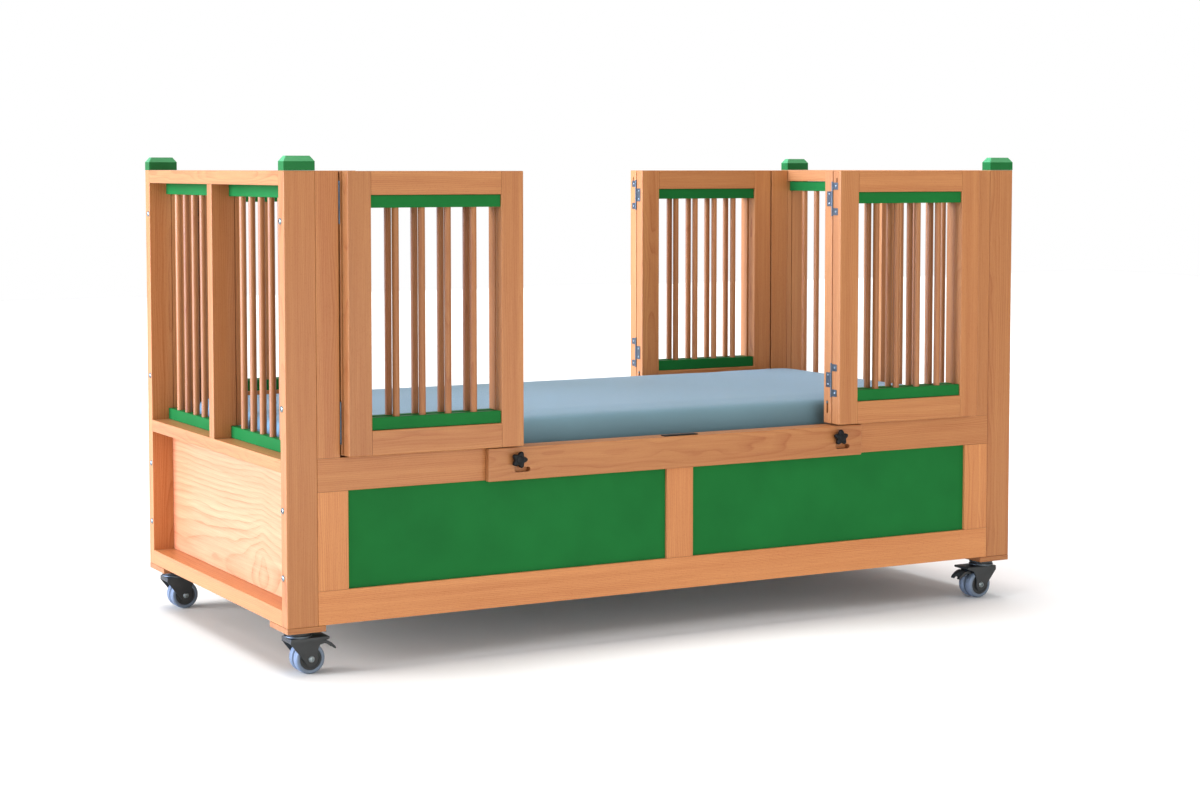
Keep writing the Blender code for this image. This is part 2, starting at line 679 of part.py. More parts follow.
def build_middle_stage(name, material, pivot):
    """Two tubes that slide in the outer ones, tied by a bar so that they rise together."""
    shapes = [box((-COLUMN_X, COLUMN_X), (-SYNC_BAR_HALF, SYNC_BAR_HALF), SYNC_BAR_Z)]
    bores = []
    for sign in (-1, 1):
        tube = square(sign * COLUMN_X, MIDDLE_TUBE[0])
        shapes.append(box(*tube, MIDDLE_TUBE_Z))
        bore = square(sign * COLUMN_X, MIDDLE_TUBE[1])
        bores.append(box(*bore, (MIDDLE_TUBE_Z[0] - CUT_OVER, MIDDLE_TUBE_Z[1] + CUT_OVER)))
    return finish(name, solid(shapes, bores), material, pivot)


def slat_spans(start, stop, count):
    """Evenly spaced slats from start to stop, as (low, high) pairs."""
    pitch = (stop - start - SLAT_WIDTH) / (count - 1)
    return [(start + n * pitch, start + n * pitch + SLAT_WIDTH) for n in range(count)]


def slat_hollows(spans):
    """Cutters that leave each slat a channel, open below, between the side rails."""
    half = SECTION_RAIL_Y[0] - RISER_LAP
    depth = (DECK_Z[0] - LAP, DECK_Z[1] - SLAT_WALL)
    return [box((low + SLAT_WALL, high - SLAT_WALL), (-half, half), depth) for low, high in spans]


def frame_hollows(end_rail_x):
    """Cutters for the side tubes, the channels across them and the two inner lift tubes."""
    cuts = []
    for sign in (-1, 1):
        hollow_y = tuple(sorted(sign * y for y in (FRAME_RAIL_Y[0] + WALL, FRAME_RAIL_Y[1] - WALL)))
        length = (-FRAME_END_X - CUT_OVER, FRAME_END_X + CUT_OVER)
        cuts.append(box(length, hollow_y, (FRAME_Z[0] + WALL, FRAME_Z[1] - WALL)))
        bore = square(sign * COLUMN_X, INNER_TUBE - WALL)
        cuts.append(box(*bore, (INNER_TUBE_BOTTOM - CUT_OVER, FRAME_Z[0])))
    half = FRAME_CROSS_HALF - WALL
    reach = FRAME_RAIL_Y[0] - WALL
    channel_z = (FRAME_Z[0] - CUT_OVER, FRAME_Z[1] - WALL)
    for sign in (-1, 1):
        x = sign * end_rail_x
        cuts.append(box((x - half, x + half), (-reach, reach), channel_z))
        x = sign * COLUMN_X
        for span_y in ((-reach, -INNER_TUBE - WALL), (INNER_TUBE + WALL, reach)):
            cuts.append(box((x - half, x + half), span_y, channel_z))
    return cuts


def build_lying_frame(name, material, pivot):
    """The frame on the inner tubes, with the fixed seat deck and the hinge lugs."""
    shapes = []
    pins = []
    for sign in (-1, 1):
        rail_y = tuple(sorted(sign * y for y in FRAME_RAIL_Y))
        shapes.append(box((-FRAME_END_X, FRAME_END_X), rail_y, FRAME_Z))
        lug_y = tuple(sorted(sign * y for y in LUG_Y))
        for hinge_x in (BACK_HINGE_X, LEG_HINGE_X):
            lug_x = (hinge_x - LUG_HALF, hinge_x + LUG_HALF)
            shapes.append(box(lug_x, lug_y, (FRAME_Z[0] + LUG_DROP, LUG_TOP)))
            pin = [(hinge_x, sign * (y + PIN_ROOT), HINGE_Z) for y in (SECTION_RAIL_Y[0], LUG_Y[0])]
            pins.append(rod(*pin, PIN_RADIUS))
    inner = FRAME_RAIL_Y[0] + PIN_ROOT
    end_rail_x = FRAME_END_X - FRAME_CROSS_HALF
    for x in (-end_rail_x, -COLUMN_X, COLUMN_X, end_rail_x):
        cross_x = (x - FRAME_CROSS_HALF, x + FRAME_CROSS_HALF)
        shapes.append(box(cross_x, (-inner, inner), FRAME_Z))
    for sign in (-1, 1):
        tube = square(sign * COLUMN_X, INNER_TUBE)
        shapes.append(box(*tube, (INNER_TUBE_BOTTOM, FRAME_Z[1] - TUBE_TOP_DROP)))
    seat = (BACK_HINGE_X + SLAT_SETBACK, LEG_HINGE_X - SLAT_SETBACK)
    for sign in (-1, 1):
        inset = (FRAME_RAIL_Y[0] + RISER_INSET, FRAME_RAIL_Y[1] - RISER_INSET)
        riser_y = tuple(sorted(sign * y for y in inset))
        shapes.append(box(seat, riser_y, (FRAME_Z[1] - LUG_DROP, DECK_Z[0] + RISER_LAP)))
    slats = slat_spans(*seat, SEAT_SLATS)
    for slat in slats:
        shapes.append(box(slat, (-DECK_HALF_WIDTH, DECK_HALF_WIDTH), DECK_Z))
    cuts = frame_hollows(end_rail_x) + slat_hollows(slats)
    return finish(name, solid(shapes + pins, cuts), material, pivot)


def build_section(name, hinge_x, towards, slats, material, pivot):
    """A slatted section that turns up about the pins at its inner end."""
    shapes = []
    bores = []
    end_x = towards * SECTION_END_X
    for sign in (-1, 1):
        rail_y = tuple(sorted(sign * y for y in SECTION_RAIL_Y))
        rail_x = tuple(sorted((hinge_x, end_x)))
        shapes.append(box(rail_x, rail_y, (HINGE_Z - SECTION_RAIL_HALF, HINGE_Z + SECTION_RAIL_HALF)))
        shapes.append(rod((hinge_x, rail_y[0], HINGE_Z), (hinge_x, rail_y[1], HINGE_Z), EYE_RADIUS))
        bore_ends = [(hinge_x, y, HINGE_Z) for y in (rail_y[0] - CUT_OVER, rail_y[1] + CUT_OVER)]
        bores.append(rod(*bore_ends, EYE_BORE))
    start, stop = sorted((hinge_x + towards * SLAT_SETBACK, end_x))
    spans = slat_spans(start, stop, slats)
    for slat in spans:
        shapes.append(box(slat, (-DECK_HALF_WIDTH, DECK_HALF_WIDTH), DECK_Z))
    return finish(name, solid(shapes, bores + slat_hollows(spans)), material, pivot)


def cut_x(hinge_x, half_angle, towards, z):
    """Where the V over a hinge cuts a mattress piece at height z."""
    return hinge_x + towards * math.tan(half_angle) * (z - HINGE_Z)


def build_mattress_piece(name, low_end, high_end, material, pivot):
    """A foam block between two ends, each a function that gives x for a height."""
    bottom, top = MATTRESS_Z
    points = [(low_end(bottom), bottom), (high_end(bottom), bottom)]
    points += [(high_end(top), top), (low_end(top), top)]
    return finish(name, plate(points, -MATTRESS_HALF_WIDTH, MATTRESS_HALF_WIDTH), material, pivot)


def build_lying_surface(materials):
    steel = materials["steel"]
    build_lift_base("lift_base", steel)
    middle = add_pivot("lift_middle_slide", (0, 0, MIDDLE_TUBE_Z[0]))
    build_middle_stage("lift_middle_stage", steel, middle)
    lift = add_pivot("lift_slide", (0, 0, FRAME_Z[0]))
    back = add_pivot("back_pivot", (BACK_HINGE_X, 0, HINGE_Z), lift)
    leg = add_pivot("leg_pivot", (LEG_HINGE_X, 0, HINGE_Z), lift)
    build_lying_frame("lying_frame", steel, lift)
    build_section("back_section", BACK_HINGE_X, -1, BACK_SLATS, steel, back)
    build_section("leg_section", LEG_HINGE_X, 1, LEG_SLATS, steel, leg)

    def back_end(z):
        return -MATTRESS_HALF_LENGTH

    def back_cut(z):
        return cut_x(BACK_HINGE_X, BACK_HALF_ANGLE, -1, z)

    def seat_back_cut(z):
        return cut_x(BACK_HINGE_X, BACK_HALF_ANGLE, 1, z)

    def seat_leg_cut(z):
        return cut_x(LEG_HINGE_X, LEG_HALF_ANGLE, -1, z)

    def leg_cut(z):
        return cut_x(LEG_HINGE_X, LEG_HALF_ANGLE, 1, z)

    def leg_end(z):
        return MATTRESS_HALF_LENGTH

    cover = materials["mattress"]
    build_mattress_piece("mattress_back", back_end, back_cut, cover, back)
    build_mattress_piece("mattress_seat", seat_back_cut, seat_leg_cut, cover, lift)
    build_mattress_piece("mattress_leg", leg_cut, leg_end, cover, leg)


def main():
    clear_scene()
    collection = bpy.data.collections.new(PARTS)
    bpy.context.scene.collection.children.link(collection)
    materials = make_materials()
    for end_name, end in ENDS.items():
        build_end_frame(f"end_frame_{end_name}", end, materials["beech"])
        build_end_panel(f"end_panel_{end_name}", end, materials["beech"])
        build_end_grille(f"end_grille_{end_name}", end, materials["green"])
    for side_name, side in SIDES.items():
        build_side_frame(f"side_frame_{side_name}", side, materials["beech"])
        build_side_panel(f"side_panel_{side_name}", side, materials["green"])
        build_lock_board(f"lock_board_{side_name}", side, materials["beech"])
        for end_name, end in ENDS.items():
            corner = f"{side_name}_{end_name}"
            build_post_cap(f"post_cap_{corner}", end, side, materials["green"])
            build_star_knob(f"star_knob_{corner}", end, side, materials["black"])
            build_door(end_name, side_name, materials)
            build_caster(end_name, side_name, materials)
    build_lying_surface(materials)


main()
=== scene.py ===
import math
import random

import bmesh
import bpy
from mathutils import Matrix, Vector


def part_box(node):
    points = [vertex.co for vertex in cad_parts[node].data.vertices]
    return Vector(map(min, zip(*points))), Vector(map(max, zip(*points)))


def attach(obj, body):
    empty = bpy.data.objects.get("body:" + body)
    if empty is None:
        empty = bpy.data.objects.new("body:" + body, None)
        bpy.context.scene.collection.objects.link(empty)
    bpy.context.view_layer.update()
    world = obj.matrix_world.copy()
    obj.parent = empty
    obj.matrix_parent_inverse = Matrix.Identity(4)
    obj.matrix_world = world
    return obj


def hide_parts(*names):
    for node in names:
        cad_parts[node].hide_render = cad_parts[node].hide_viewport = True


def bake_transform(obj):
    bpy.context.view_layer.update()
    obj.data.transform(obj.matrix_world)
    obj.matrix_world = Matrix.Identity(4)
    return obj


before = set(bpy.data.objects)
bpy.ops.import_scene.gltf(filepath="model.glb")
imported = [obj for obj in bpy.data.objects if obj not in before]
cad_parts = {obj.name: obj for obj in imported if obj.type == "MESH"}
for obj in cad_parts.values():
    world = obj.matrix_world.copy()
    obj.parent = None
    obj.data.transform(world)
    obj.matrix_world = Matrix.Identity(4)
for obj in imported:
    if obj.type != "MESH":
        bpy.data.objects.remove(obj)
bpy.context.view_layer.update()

DICE = random.Random(11)

# Sizes that repeat the model's own, in metres
HALF_LENGTH = 1.080
HALF_WIDTH = 0.525
POST_X = 0.078
POST_Y = 0.036
FOOT_X = 0.098
FOOT_Y = 0.120
FOOT_TOP = 0.1218
FRAME_BOTTOM = 0.122
END_BOTTOM_RAIL_TOP = 0.1615
END_MIDDLE_RAIL = (0.4895, 0.522)
END_TOP_RAIL = 1.170
END_STRIP_NOTCHES = ((0.5219, 0.5535), (1.1385, 1.1701))
NOTCH_DEPTH = 0.046
JAMB_EDGE = 0.137
STILE_EDGE = 0.157
SIDE_RAIL_TOP = 0.5225
SIDE_WINDOW = (0.2045, 0.442)
MULLION_HALF = 0.040
END_MULLION = 0.018
GROOVE = (0.0595, 0.0620)
GROOVE_DEPTH = 0.004
LEAF_STILE = 0.060
LEAF_BOTTOM_RAIL = 0.060
LEAF_TOP_RAIL = 0.057
LEAF_FAR_EDGE = 0.6085
INNER_LEAF = (0.1405, LEAF_FAR_EDGE)
OUTER_LEAF = (0.1445, LEAF_FAR_EDGE)
STRIP_HEIGHT = 0.030
PANEL_RECESS = 0.008
PANEL_LAP = 0.010
DOOR_PIVOT = 0.13875
FOLD_PIVOT = 0.610
PIVOT_DEPTH = -0.0015
BOLT_PLACE = (0.5965, 0.0175)
BOLT_BORE = 0.0048
BOLT_BORE_TOP = 0.610
BOLT_HOLE_DEPTH = 0.030
BOLT_KNOB_Z = 0.583
BOLT_CHANNEL_Z = (0.5575, 0.5835)
BOLT_CHANNEL_HALF = 0.0041
STRIKE_Z = (1.167, 1.184)
STRIKE_HALF = 0.0025
STRIKE_DEPTH = 0.012
KNOB_X = 0.4815
KNOB_TURN = {"left": 1.10, "right": 0.157}
KNOB_Z = 0.492
SLOT_FOOT_Z = 0.4655
SLOT_FOOT_REACH = 0.032
LOCK_SLOT_HALF = 0.0062
CASTER = (0.049, 0.060)
TRAIL = 0.0225
WHEEL_RADIUS = 0.0375

# Sizes of what the model leaves out or keeps simpler, in metres
SPINDLE_RADIUS = 0.0086
SPINDLE_LAP = 0.006
BOLT_HEAD_HEIGHTS = (1.086, 0.643, 0.401, 0.240)
BOLT_HEAD_INSET = 0.024
FOLD_HINGES = (("upper", 1.129), ("lower", 0.644))
JAMB_HINGES = (("upper", 1.130), ("lower", 0.605))
HOUSING_HALF_WIDTH = 0.0310
HOUSING_SLOT_HALF = 0.0277
PEDAL_HALF_WIDTH = 0.0200
PEDAL_NOTCH_HALF = 0.0070

CAMERA_PLACE = (-2.990, -5.516, 1.2096)
CAMERA_DIRECTION = (0.4821, 0.8738, -0.0638)
CAMERA_LENS = 67.9
CAMERA_SHIFT = -0.0677
AMBIENT_LEVEL = 0.66
BACKDROP_LEVEL = 1.0

ENDS = {"left": -1, "right": 1}
SIDES = {"front": -1, "rear": 1}


# ------------------------------------------------------------------ materials


def srgb(red, green, blue):
    """A colour given as 0 to 255 screen values, as the linear colour that a shader takes."""
    values = []
    for value in (red, green, blue):
        value /= 255
        values.append(value / 12.92 if value <= 0.04045 else ((value + 0.055) / 1.055) ** 2.4)
    return (*values, 1.0)


class Look:
    """A material whose nodes are added one call at a time."""

    def __init__(self, name, colour, roughness, **sockets):
        self.material = bpy.data.materials.new(name)
        self.material.use_nodes = True
        self.tree = self.material.node_tree
        self.shader = self.tree.nodes["Principled BSDF"]
        self.shader.inputs["Base Color"].default_value = colour
        self.shader.inputs["Roughness"].default_value = roughness
        for socket, value in sockets.items():
            self.shader.inputs[socket.replace("_", " ")].default_value = value
        self.material.diffuse_color = colour

    def add(self, kind, values=(), **settings):
        node = self.tree.nodes.new("ShaderNode" + kind)
        for key, value in settings.items():
            setattr(node, key, value)
        for key, value in dict(values).items():
            self.set(node.inputs[key], value)
        return node

    def set(self, socket, value):
        if isinstance(value, bpy.types.NodeSocket):
            self.tree.links.new(value, socket)
        else:
            socket.default_value = value

    def place(self):
        return self.add("TexCoord").outputs["Object"]

    def attribute(self, name, output):
        return self.add("Attribute", attribute_name=name).outputs[output]

    def scaled(self, vector, factors):
        node = self.add("VectorMath", {0: vector, 1: factors}, operation="MULTIPLY")
        return node.outputs[0]

    def math(self, operation, first, second=0.5, third=0.5):
        return self.add("Math", {0: first, 1: second, 2: third}, operation=operation).outputs[0]

    def noise(self, vector, scale=1.0, detail=2.0, roughness=0.5):
        values = {"Vector": vector, "Scale": scale, "Detail": detail, "Roughness": roughness}
        return self.add("TexNoise", values).outputs["Fac"]

    def ramp(self, value, *stops):
        """A grey value through (position, brightness) stops."""
        node = self.add("ValToRGB", {"Fac": value})
        elements = node.color_ramp.elements
        while len(elements) < len(stops):
            elements.new(0.5)
        for element, (position, level) in zip(elements, stops):
            element.position = position
            element.color = (level, level, level, 1.0)
        return node.outputs["Color"]

    def mix(self, amount, first, second, blend="MIX"):
        node = self.add("Mix", {0: amount, 6: first, 7: second}, data_type="RGBA", blend_type=blend)
        return node.outputs[2]

    def bump(self, height, distance, strength=1.0):
        values = {"Height": height, "Distance": distance, "Strength": strength}
        self.set(self.shader.inputs["Normal"], self.add("Bump", values).outputs["Normal"])

    def colour(self, value):
        self.set(self.shader.inputs["Base Color"], value)

    def shaded(self, base, shade):
        """The base colour, brighter or darker by the shade."""
        node = self.add("VectorMath", {0: base, "Scale": shade}, operation="SCALE")
        self.colour(node.outputs[0])

    def gloss(self, value, low, high):
        """Roughness that runs from low to high with a 0 to 1 value."""
        span = self.add("MapRange", {"Value": value, "To Min": low, "To Max": high})
        self.set(self.shader.inputs["Roughness"], span.outputs[0])


def make_beech(name, light, dark, ring_pitch, ring_strength, eye):
    """Lacquered beech. Each board carries its own fibre direction in "grain" (metres along
    the fibre, then two across it from the tree's centre) and its brightness in "tone", a random board
    tone times painted light and shade.
    With eye above 0 the rings close into the nested arches of a flat-sawn panel, and run
    level further away from them."""
    look = Look(name, light, 0.4, Specular_IOR_Level=0.28, Coat_Weight=0.05, Coat_Roughness=0.25)
    grain = look.attribute("grain", "Vector")
    wander = look.noise(look.scaled(grain, (2.2, 10.0, 10.0)), detail=2.0)
    ripple = look.noise(look.scaled(grain, (16.0, 30.0, 30.0)), detail=1.0)
    along = look.add("SeparateXYZ", {0: grain}).outputs[0]
    radius = look.add("VectorMath", {0: look.scaled(grain, (0.0, 1.0, 1.0))}, operation="LENGTH")
    radius = radius.outputs["Value"]
    if eye:
        apart = look.math("ABSOLUTE", along)
        apart = look.math("DIVIDE", apart, look.math("MULTIPLY_ADD", apart, 10.0, 1.0 / eye))
        radius = look.math("MULTIPLY", radius, radius)
        radius = look.math("SQRT", look.math("MULTIPLY_ADD", apart, apart, radius))
    radius = look.math("MULTIPLY_ADD", wander, 0.034, radius)
    radius = look.math("MULTIPLY_ADD", ripple, 0.0022, radius)
    radius = look.math("MULTIPLY_ADD", along, 0.0 if eye else 0.011, radius)
    ring = look.math("FRACT", look.math("DIVIDE", radius, ring_pitch))
    ring = look.ramp(ring, (0.0, 0.12), (0.35, 0.0), (0.80, 0.55), (0.93, 1.0), (1.0, 0.12))
    faint = look.noise(look.scaled(grain, (1.6, 55.0, 55.0)), detail=1.0)
    ring = look.math("MULTIPLY", ring, look.ramp(faint, (0.3, 0.25), (0.7, 1.0)))
    bands = look.noise(look.scaled(grain, (0.7, 38.0, 38.0)), detail=3.0, roughness=0.6)
    fibres = look.noise(look.scaled(grain, (9.0, 620.0, 620.0)), detail=3.0, roughness=0.65)
    rays = look.noise(look.scaled(grain, (190.0, 1300.0, 1300.0)), detail=1.0)
    rays = look.ramp(rays, (0.60, 0.0), (0.70, 1.0))
    amount = look.math("MULTIPLY", ring, ring_strength)
    amount = look.math("MULTIPLY_ADD", look.ramp(bands, (0.32, 0.0), (0.70, 1.0)), 0.34, amount)
    amount = look.math("MULTIPLY_ADD", look.ramp(fibres, (0.35, 0.0), (0.68, 1.0)), 0.26, amount)
    amount = look.math("MULTIPLY_ADD", rays, 0.30, amount)
    amount = look.add("Clamp", {"Value": amount}).outputs[0]
    wood = look.mix(amount, light, dark)
    # tone holds the random board tone with painted light and shade multiplied in
    tone = look.attribute("tone", "Fac")
    look.shaded(wood, tone)
    look.gloss(fibres, 0.34, 0.47)
    pores = look.math("MULTIPLY_ADD", rays, -0.6, fibres)
    look.bump(pores, 0.00025, 0.35)
    return look.material


def make_paint(name, colour, low, high, grit, shine, top=None):
    """Satin paint on wood: faint orange peel, and a slightly uneven coat. Faces that look up
    take the top colour, a painted highlight for light falling from above."""
    look = Look(name, colour, low, Specular_IOR_Level=shine)
    place = look.place()
    cloud = look.noise(place, 7.0, 3.0)
    speck = look.noise(place, 900.0, 2.0)
    shade = look.ramp(cloud, (0.3, 0.90), (0.7, 1.06))
    shade = look.math("MULTIPLY", shade, look.ramp(speck, (0.3, 0.93), (0.7, 1.05)))
    base = colour[:3]
    # painted highlight: faces that look up blend to the lighter top colour
    if top:
        painted_highlight_facing = look.add("NewGeometry").outputs["Normal"]
        painted_highlight_facing = look.add("SeparateXYZ", {0: painted_highlight_facing}).outputs[2]
        base = look.mix(look.ramp(painted_highlight_facing, (0.25, 0.0), (0.65, 1.0)), colour, top)
    look.shaded(base, shade)
    look.gloss(cloud, low, high)
    peel = look.noise(place, 260.0, 2.0)
    look.bump(look.math("MULTIPLY_ADD", speck, 0.35, peel), 0.00035, grit)
    return look.material


def make_cover():
    """Coated knit: a fine regular stitch, a soft sheen and large, very faint clouds."""
    colour = srgb(97, 128, 138)
    look = Look("mattress_cover", colour, 0.6, Specular_IOR_Level=0.30, Sheen_Weight=0.18,
                Sheen_Roughness=0.5)
    place = look.add("SeparateXYZ", {0: look.place()})
    x, y, z = place.outputs
    pitch = math.tau / 0.0026
    first = look.math("SINE", look.math("MULTIPLY", look.math("ADD", x, z), pitch))
    second = look.math("SINE", look.math("MULTIPLY", look.math("ADD", y, z), pitch))
    stitch = look.math("MULTIPLY", first, second)
    cloud = look.noise(look.place(), 5.0, 3.0)
    shade = look.ramp(cloud, (0.3, 0.94), (0.7, 1.04))
    shade = look.math("MULTIPLY_ADD", stitch, 0.045, shade)
    look.shaded(colour[:3], shade)
    look.gloss(cloud, 0.52, 0.66)
    wrinkle = look.noise(look.place(), 14.0, 3.0)
    look.bump(look.math("MULTIPLY_ADD", wrinkle, 3.0, stitch), 0.0006, 0.30)
    return look.material


def make_metal(name, colour, low, high, scratch, metallic=1.0):
    look = Look(name, colour, low, Metallic=metallic)
    place = look.place()
    cloud = look.noise(place, 60.0, 4.0, 0.6)
    fine = look.noise(look.scaled(place, (1400.0, 1400.0, 260.0)), 1.0, 2.0)
    shade = look.ramp(cloud, (0.3, 0.82), (0.7, 1.05))
    look.shaded(colour[:3], shade)
    look.gloss(look.math("MULTIPLY_ADD", fine, 0.4, cloud), low, high)
    look.bump(fine, 0.0001, scratch)
    return look.material


def make_moulded(name, colour, low, high, grain_scale, strength, shine=0.38):
    """Moulded plastic or rubber with a fine spark-eroded grain."""
    look = Look(name, colour, low, Specular_IOR_Level=shine)
    place = look.place()
    grit = look.noise(place, grain_scale, 3.0, 0.6)
    cloud = look.noise(place, 40.0, 2.0)
    shade = look.ramp(cloud, (0.3, 0.85), (0.7, 1.12))
    look.shaded(colour[:3], shade)
    look.gloss(grit, low, high)
    look.bump(grit, 0.0002, strength)
    return look.material


BEECH_LIGHT = srgb(184, 125, 74)
BEECH_DARK = srgb(146, 80, 40)
LOOKS = {
    "beech": make_beech("beech", BEECH_LIGHT, BEECH_DARK, 0.0042, 0.50, 0.0),
    "panel": make_beech("beech_panel", srgb(206, 141, 100), srgb(178, 92, 51), 0.0118, 0.60, 1.6),
    "green_paint": make_paint("green_paint", srgb(26, 100, 45), 0.38, 0.5, 0.25, 0.04),
    "cap_paint_and_top_highlight": make_paint("cap_paint_and_top_highlight", srgb(16, 96, 42), 0.24, 0.34, 0.18, 0.20, srgb(80, 150, 98)),
    "mattress_cover": make_cover(),
    "zinc": make_metal("zinc", srgb(138, 147, 148), 0.24, 0.42, 0.3),
    "dark_zinc": make_metal("dark_zinc", srgb(88, 94, 98), 0.3, 0.5, 0.3),
    "coated_steel": make_metal("coated_steel", srgb(168, 174, 180), 0.38, 0.52, 0.5, 0.2),
    "black_plastic": make_moulded("black_plastic", srgb(9, 10, 10), 0.34, 0.5, 1500.0, 0.3, 0.18),
    "dark_grey_plastic": make_moulded("dark_grey_plastic", srgb(42, 44, 44), 0.36, 0.5, 1300.0, 0.3),
    "grey_tyre": make_moulded("grey_tyre", srgb(102, 114, 128), 0.42, 0.58, 700.0, 0.25),
}


# ------------------------------------------------------------------ mesh tools


def object_from(name, bm):
    bmesh.ops.recalc_face_normals(bm, faces=bm.faces)
    mesh = bpy.data.meshes.new(name)
    bm.to_mesh(mesh)
    bm.free()
    thing = bpy.data.objects.new(name, mesh)
    bpy.context.scene.collection.objects.link(thing)
    return thing


def add_block(bm, x, y, z):
    """A block between three (low, high) pairs."""
    low = Vector([min(pair) for pair in (x, y, z)])
    high = Vector([max(pair) for pair in (x, y, z)])
    place = Matrix.Translation((low + high) / 2) @ Matrix.Diagonal((*(high - low), 1.0))
    return bmesh.ops.create_cube(bm, size=1.0, matrix=place)["verts"]


def blocks(name, *boxes):
    bm = bmesh.new()
    for box in boxes:
        add_block(bm, *box)
    return object_from(name, bm)


def settle(thing):
    """Applies the modifiers."""
    graph = bpy.context.evaluated_depsgraph_get()
    mesh = bpy.data.meshes.new_from_object(thing.evaluated_get(graph))
    thing.modifiers.clear()
    thing.data = mesh
    return thing


def carve(thing, tool, operation="DIFFERENCE"):
    """Cuts thing with tool, or keeps what they share, and removes the tool."""
    modifier = thing.modifiers.new("carve", "BOOLEAN")
    modifier.operation = operation
    modifier.solver = "EXACT"
    modifier.use_self = True
    modifier.object = tool
    settle(thing)
    bpy.data.objects.remove(tool)
    return thing


def soften(thing, width, segments=3, angle=30.0):
    """Rounds the edges."""
    modifier = thing.modifiers.new("soften", "BEVEL")
    modifier.width = width
    modifier.segments = segments
    modifier.limit_method = "ANGLE"
    modifier.angle_limit = math.radians(angle)
    return settle(thing)


def smooth(thing, angle=35.0):
    thing.data.shade_smooth()
    thing.data.set_sharp_from_angle(angle=math.radians(angle))
    return thing


def frame_axes(axis):
    """Two directions across an axis."""
    axis = Vector(axis).normalized()
    side = axis.orthogonal().normalized()
    return axis, side, axis.cross(side)


def add_turned(bm, centre, axis, profile, steps=32, outline=None):
    """A closed turned shape. The profile is (radius, height along the axis) from one pole to
    the other. outline gives the radius as a function of the angle and the profile's own."""
    centre = Vector(centre)
    axis, side, up = frame_axes(axis)
    rings = []
    for radius, height in profile:
        if radius == 0.0:
            rings.append([bm.verts.new(centre + axis * height)])
            continue
        ring = []
        for step in range(steps):
            angle = math.tau * step / steps
            reach = outline(angle, radius) if outline else radius
            offset = side * (reach * math.cos(angle)) + up * (reach * math.sin(angle))
            ring.append(bm.verts.new(centre + axis * height + offset))
        rings.append(ring)
    for first, second in zip(rings, rings[1:]):
        for step in range(steps):
            after = (step + 1) % steps
            if len(first) == 1:
                bm.faces.new((first[0], second[step], second[after]))
            elif len(second) == 1:
                bm.faces.new((first[step], first[after], second[0]))
            else:
                bm.faces.new((first[step], first[after], second[after], second[step]))


def add_bar(bm, start, end, radius, steps=20, edge=0.0006):
    """A round bar with slightly rounded ends."""
    start, end = Vector(start), Vector(end)
    length = (end - start).length
    profile = [(0.0, 0.0), (radius - edge, 0.0), (radius, edge), (radius, length - edge)]
    profile += [(radius - edge, length), (0.0, length)]
    add_turned(bm, start, end - start, profile, steps)


def add_outline(bm, points, low, high, axis="Y"):
    """An outline of (x, z) points extruded along Y, or of (y, z) points along X."""
    def at(point, depth):
        return (point[0], depth, point[1]) if axis == "Y" else (depth, point[0], point[1])
    near = [bm.verts.new(at(point, low)) for point in points]
    far = [bm.verts.new(at(point, high)) for point in points]
    bm.faces.new(near)
    bm.faces.new(list(reversed(far)))
    count = len(points)
    for step in range(count):
        after = (step + 1) % count
        bm.faces.new((near[step], near[after], far[after], far[step]))


def arc(centre, radius, start, stop, steps=8):
    """Points on an arc between two angles in degrees."""
    points = []
    for step in range(steps + 1):
        angle = math.radians(start + (stop - start) * step / steps)
        points.append((centre[0] + radius * math.cos(angle), centre[1] + radius * math.sin(angle)))
    return points


def dress(thing, look, body, *nodes):
    """Gives a piece its material, its body, and the nodes that it stands for."""
    thing.data.materials.clear()
    thing.data.materials.append(LOOKS[look])
    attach(thing, body)
    if nodes:
        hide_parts(*nodes)
    return thing


def board_tone_with_painted_light(middle):
    """The feet are the darkest boards. The rest is painted light and shade: the case below the doors is
    painted paler for stronger light low down, the rear leaves are painted paler against the shade they
    stand in, and the front leaves are painted darker.
    """
    if middle.z < 0.125:
        return 0.84
    # painted light and shade: lower case paler, rear leaves paler, front leaves darker
    if middle.z < 0.46:
        return 1.16
    return 1.18 if middle.y > 0.40 else 0.90 if middle.y < -0.40 else 1.0


def give_grain(thing, axis, eye=None, spread=(0.03, 0.12), tone=1.0):
    """Writes the fibre coordinates and the tone of one board, or of each loose bar in it: a random tone
    times painted light and shade by where the board stands.
    eye puts the tree's centre at a point of its own, for a flat-sawn panel."""
    mesh = thing.data
    cross = [index for index in range(3) if index != axis]
    vectors = [0.0] * (3 * len(mesh.vertices))
    levels = [0.0] * len(mesh.vertices)
    for group in loose_groups(mesh):
        middle = sum((mesh.vertices[index].co for index in group), Vector()) / len(group)
        angle = DICE.uniform(0.0, math.tau)
        reach = DICE.uniform(*spread)
        shift = DICE.uniform(0.0, 40.0)
        # a random board tone times the painted light and shade of where the board stands
        level = DICE.uniform(0.92, 1.06) * tone * board_tone_with_painted_light(middle)
        pith = (middle[cross[0]] + reach * math.cos(angle), middle[cross[1]] + reach * math.sin(angle))
        if eye is not None:
            pith = (eye[cross[0]], eye[cross[1]])
            shift = -eye[axis]
        for index in group:
            corner = mesh.vertices[index].co
            vectors[3 * index] = corner[axis] + shift
            vectors[3 * index + 1] = corner[cross[0]] - pith[0]
            vectors[3 * index + 2] = corner[cross[1]] - pith[1]
            levels[index] = level
    mesh.attributes.new("grain", "FLOAT_VECTOR", "POINT").data.foreach_set("vector", vectors)
    mesh.attributes.new("tone", "FLOAT", "POINT").data.foreach_set("value", levels)


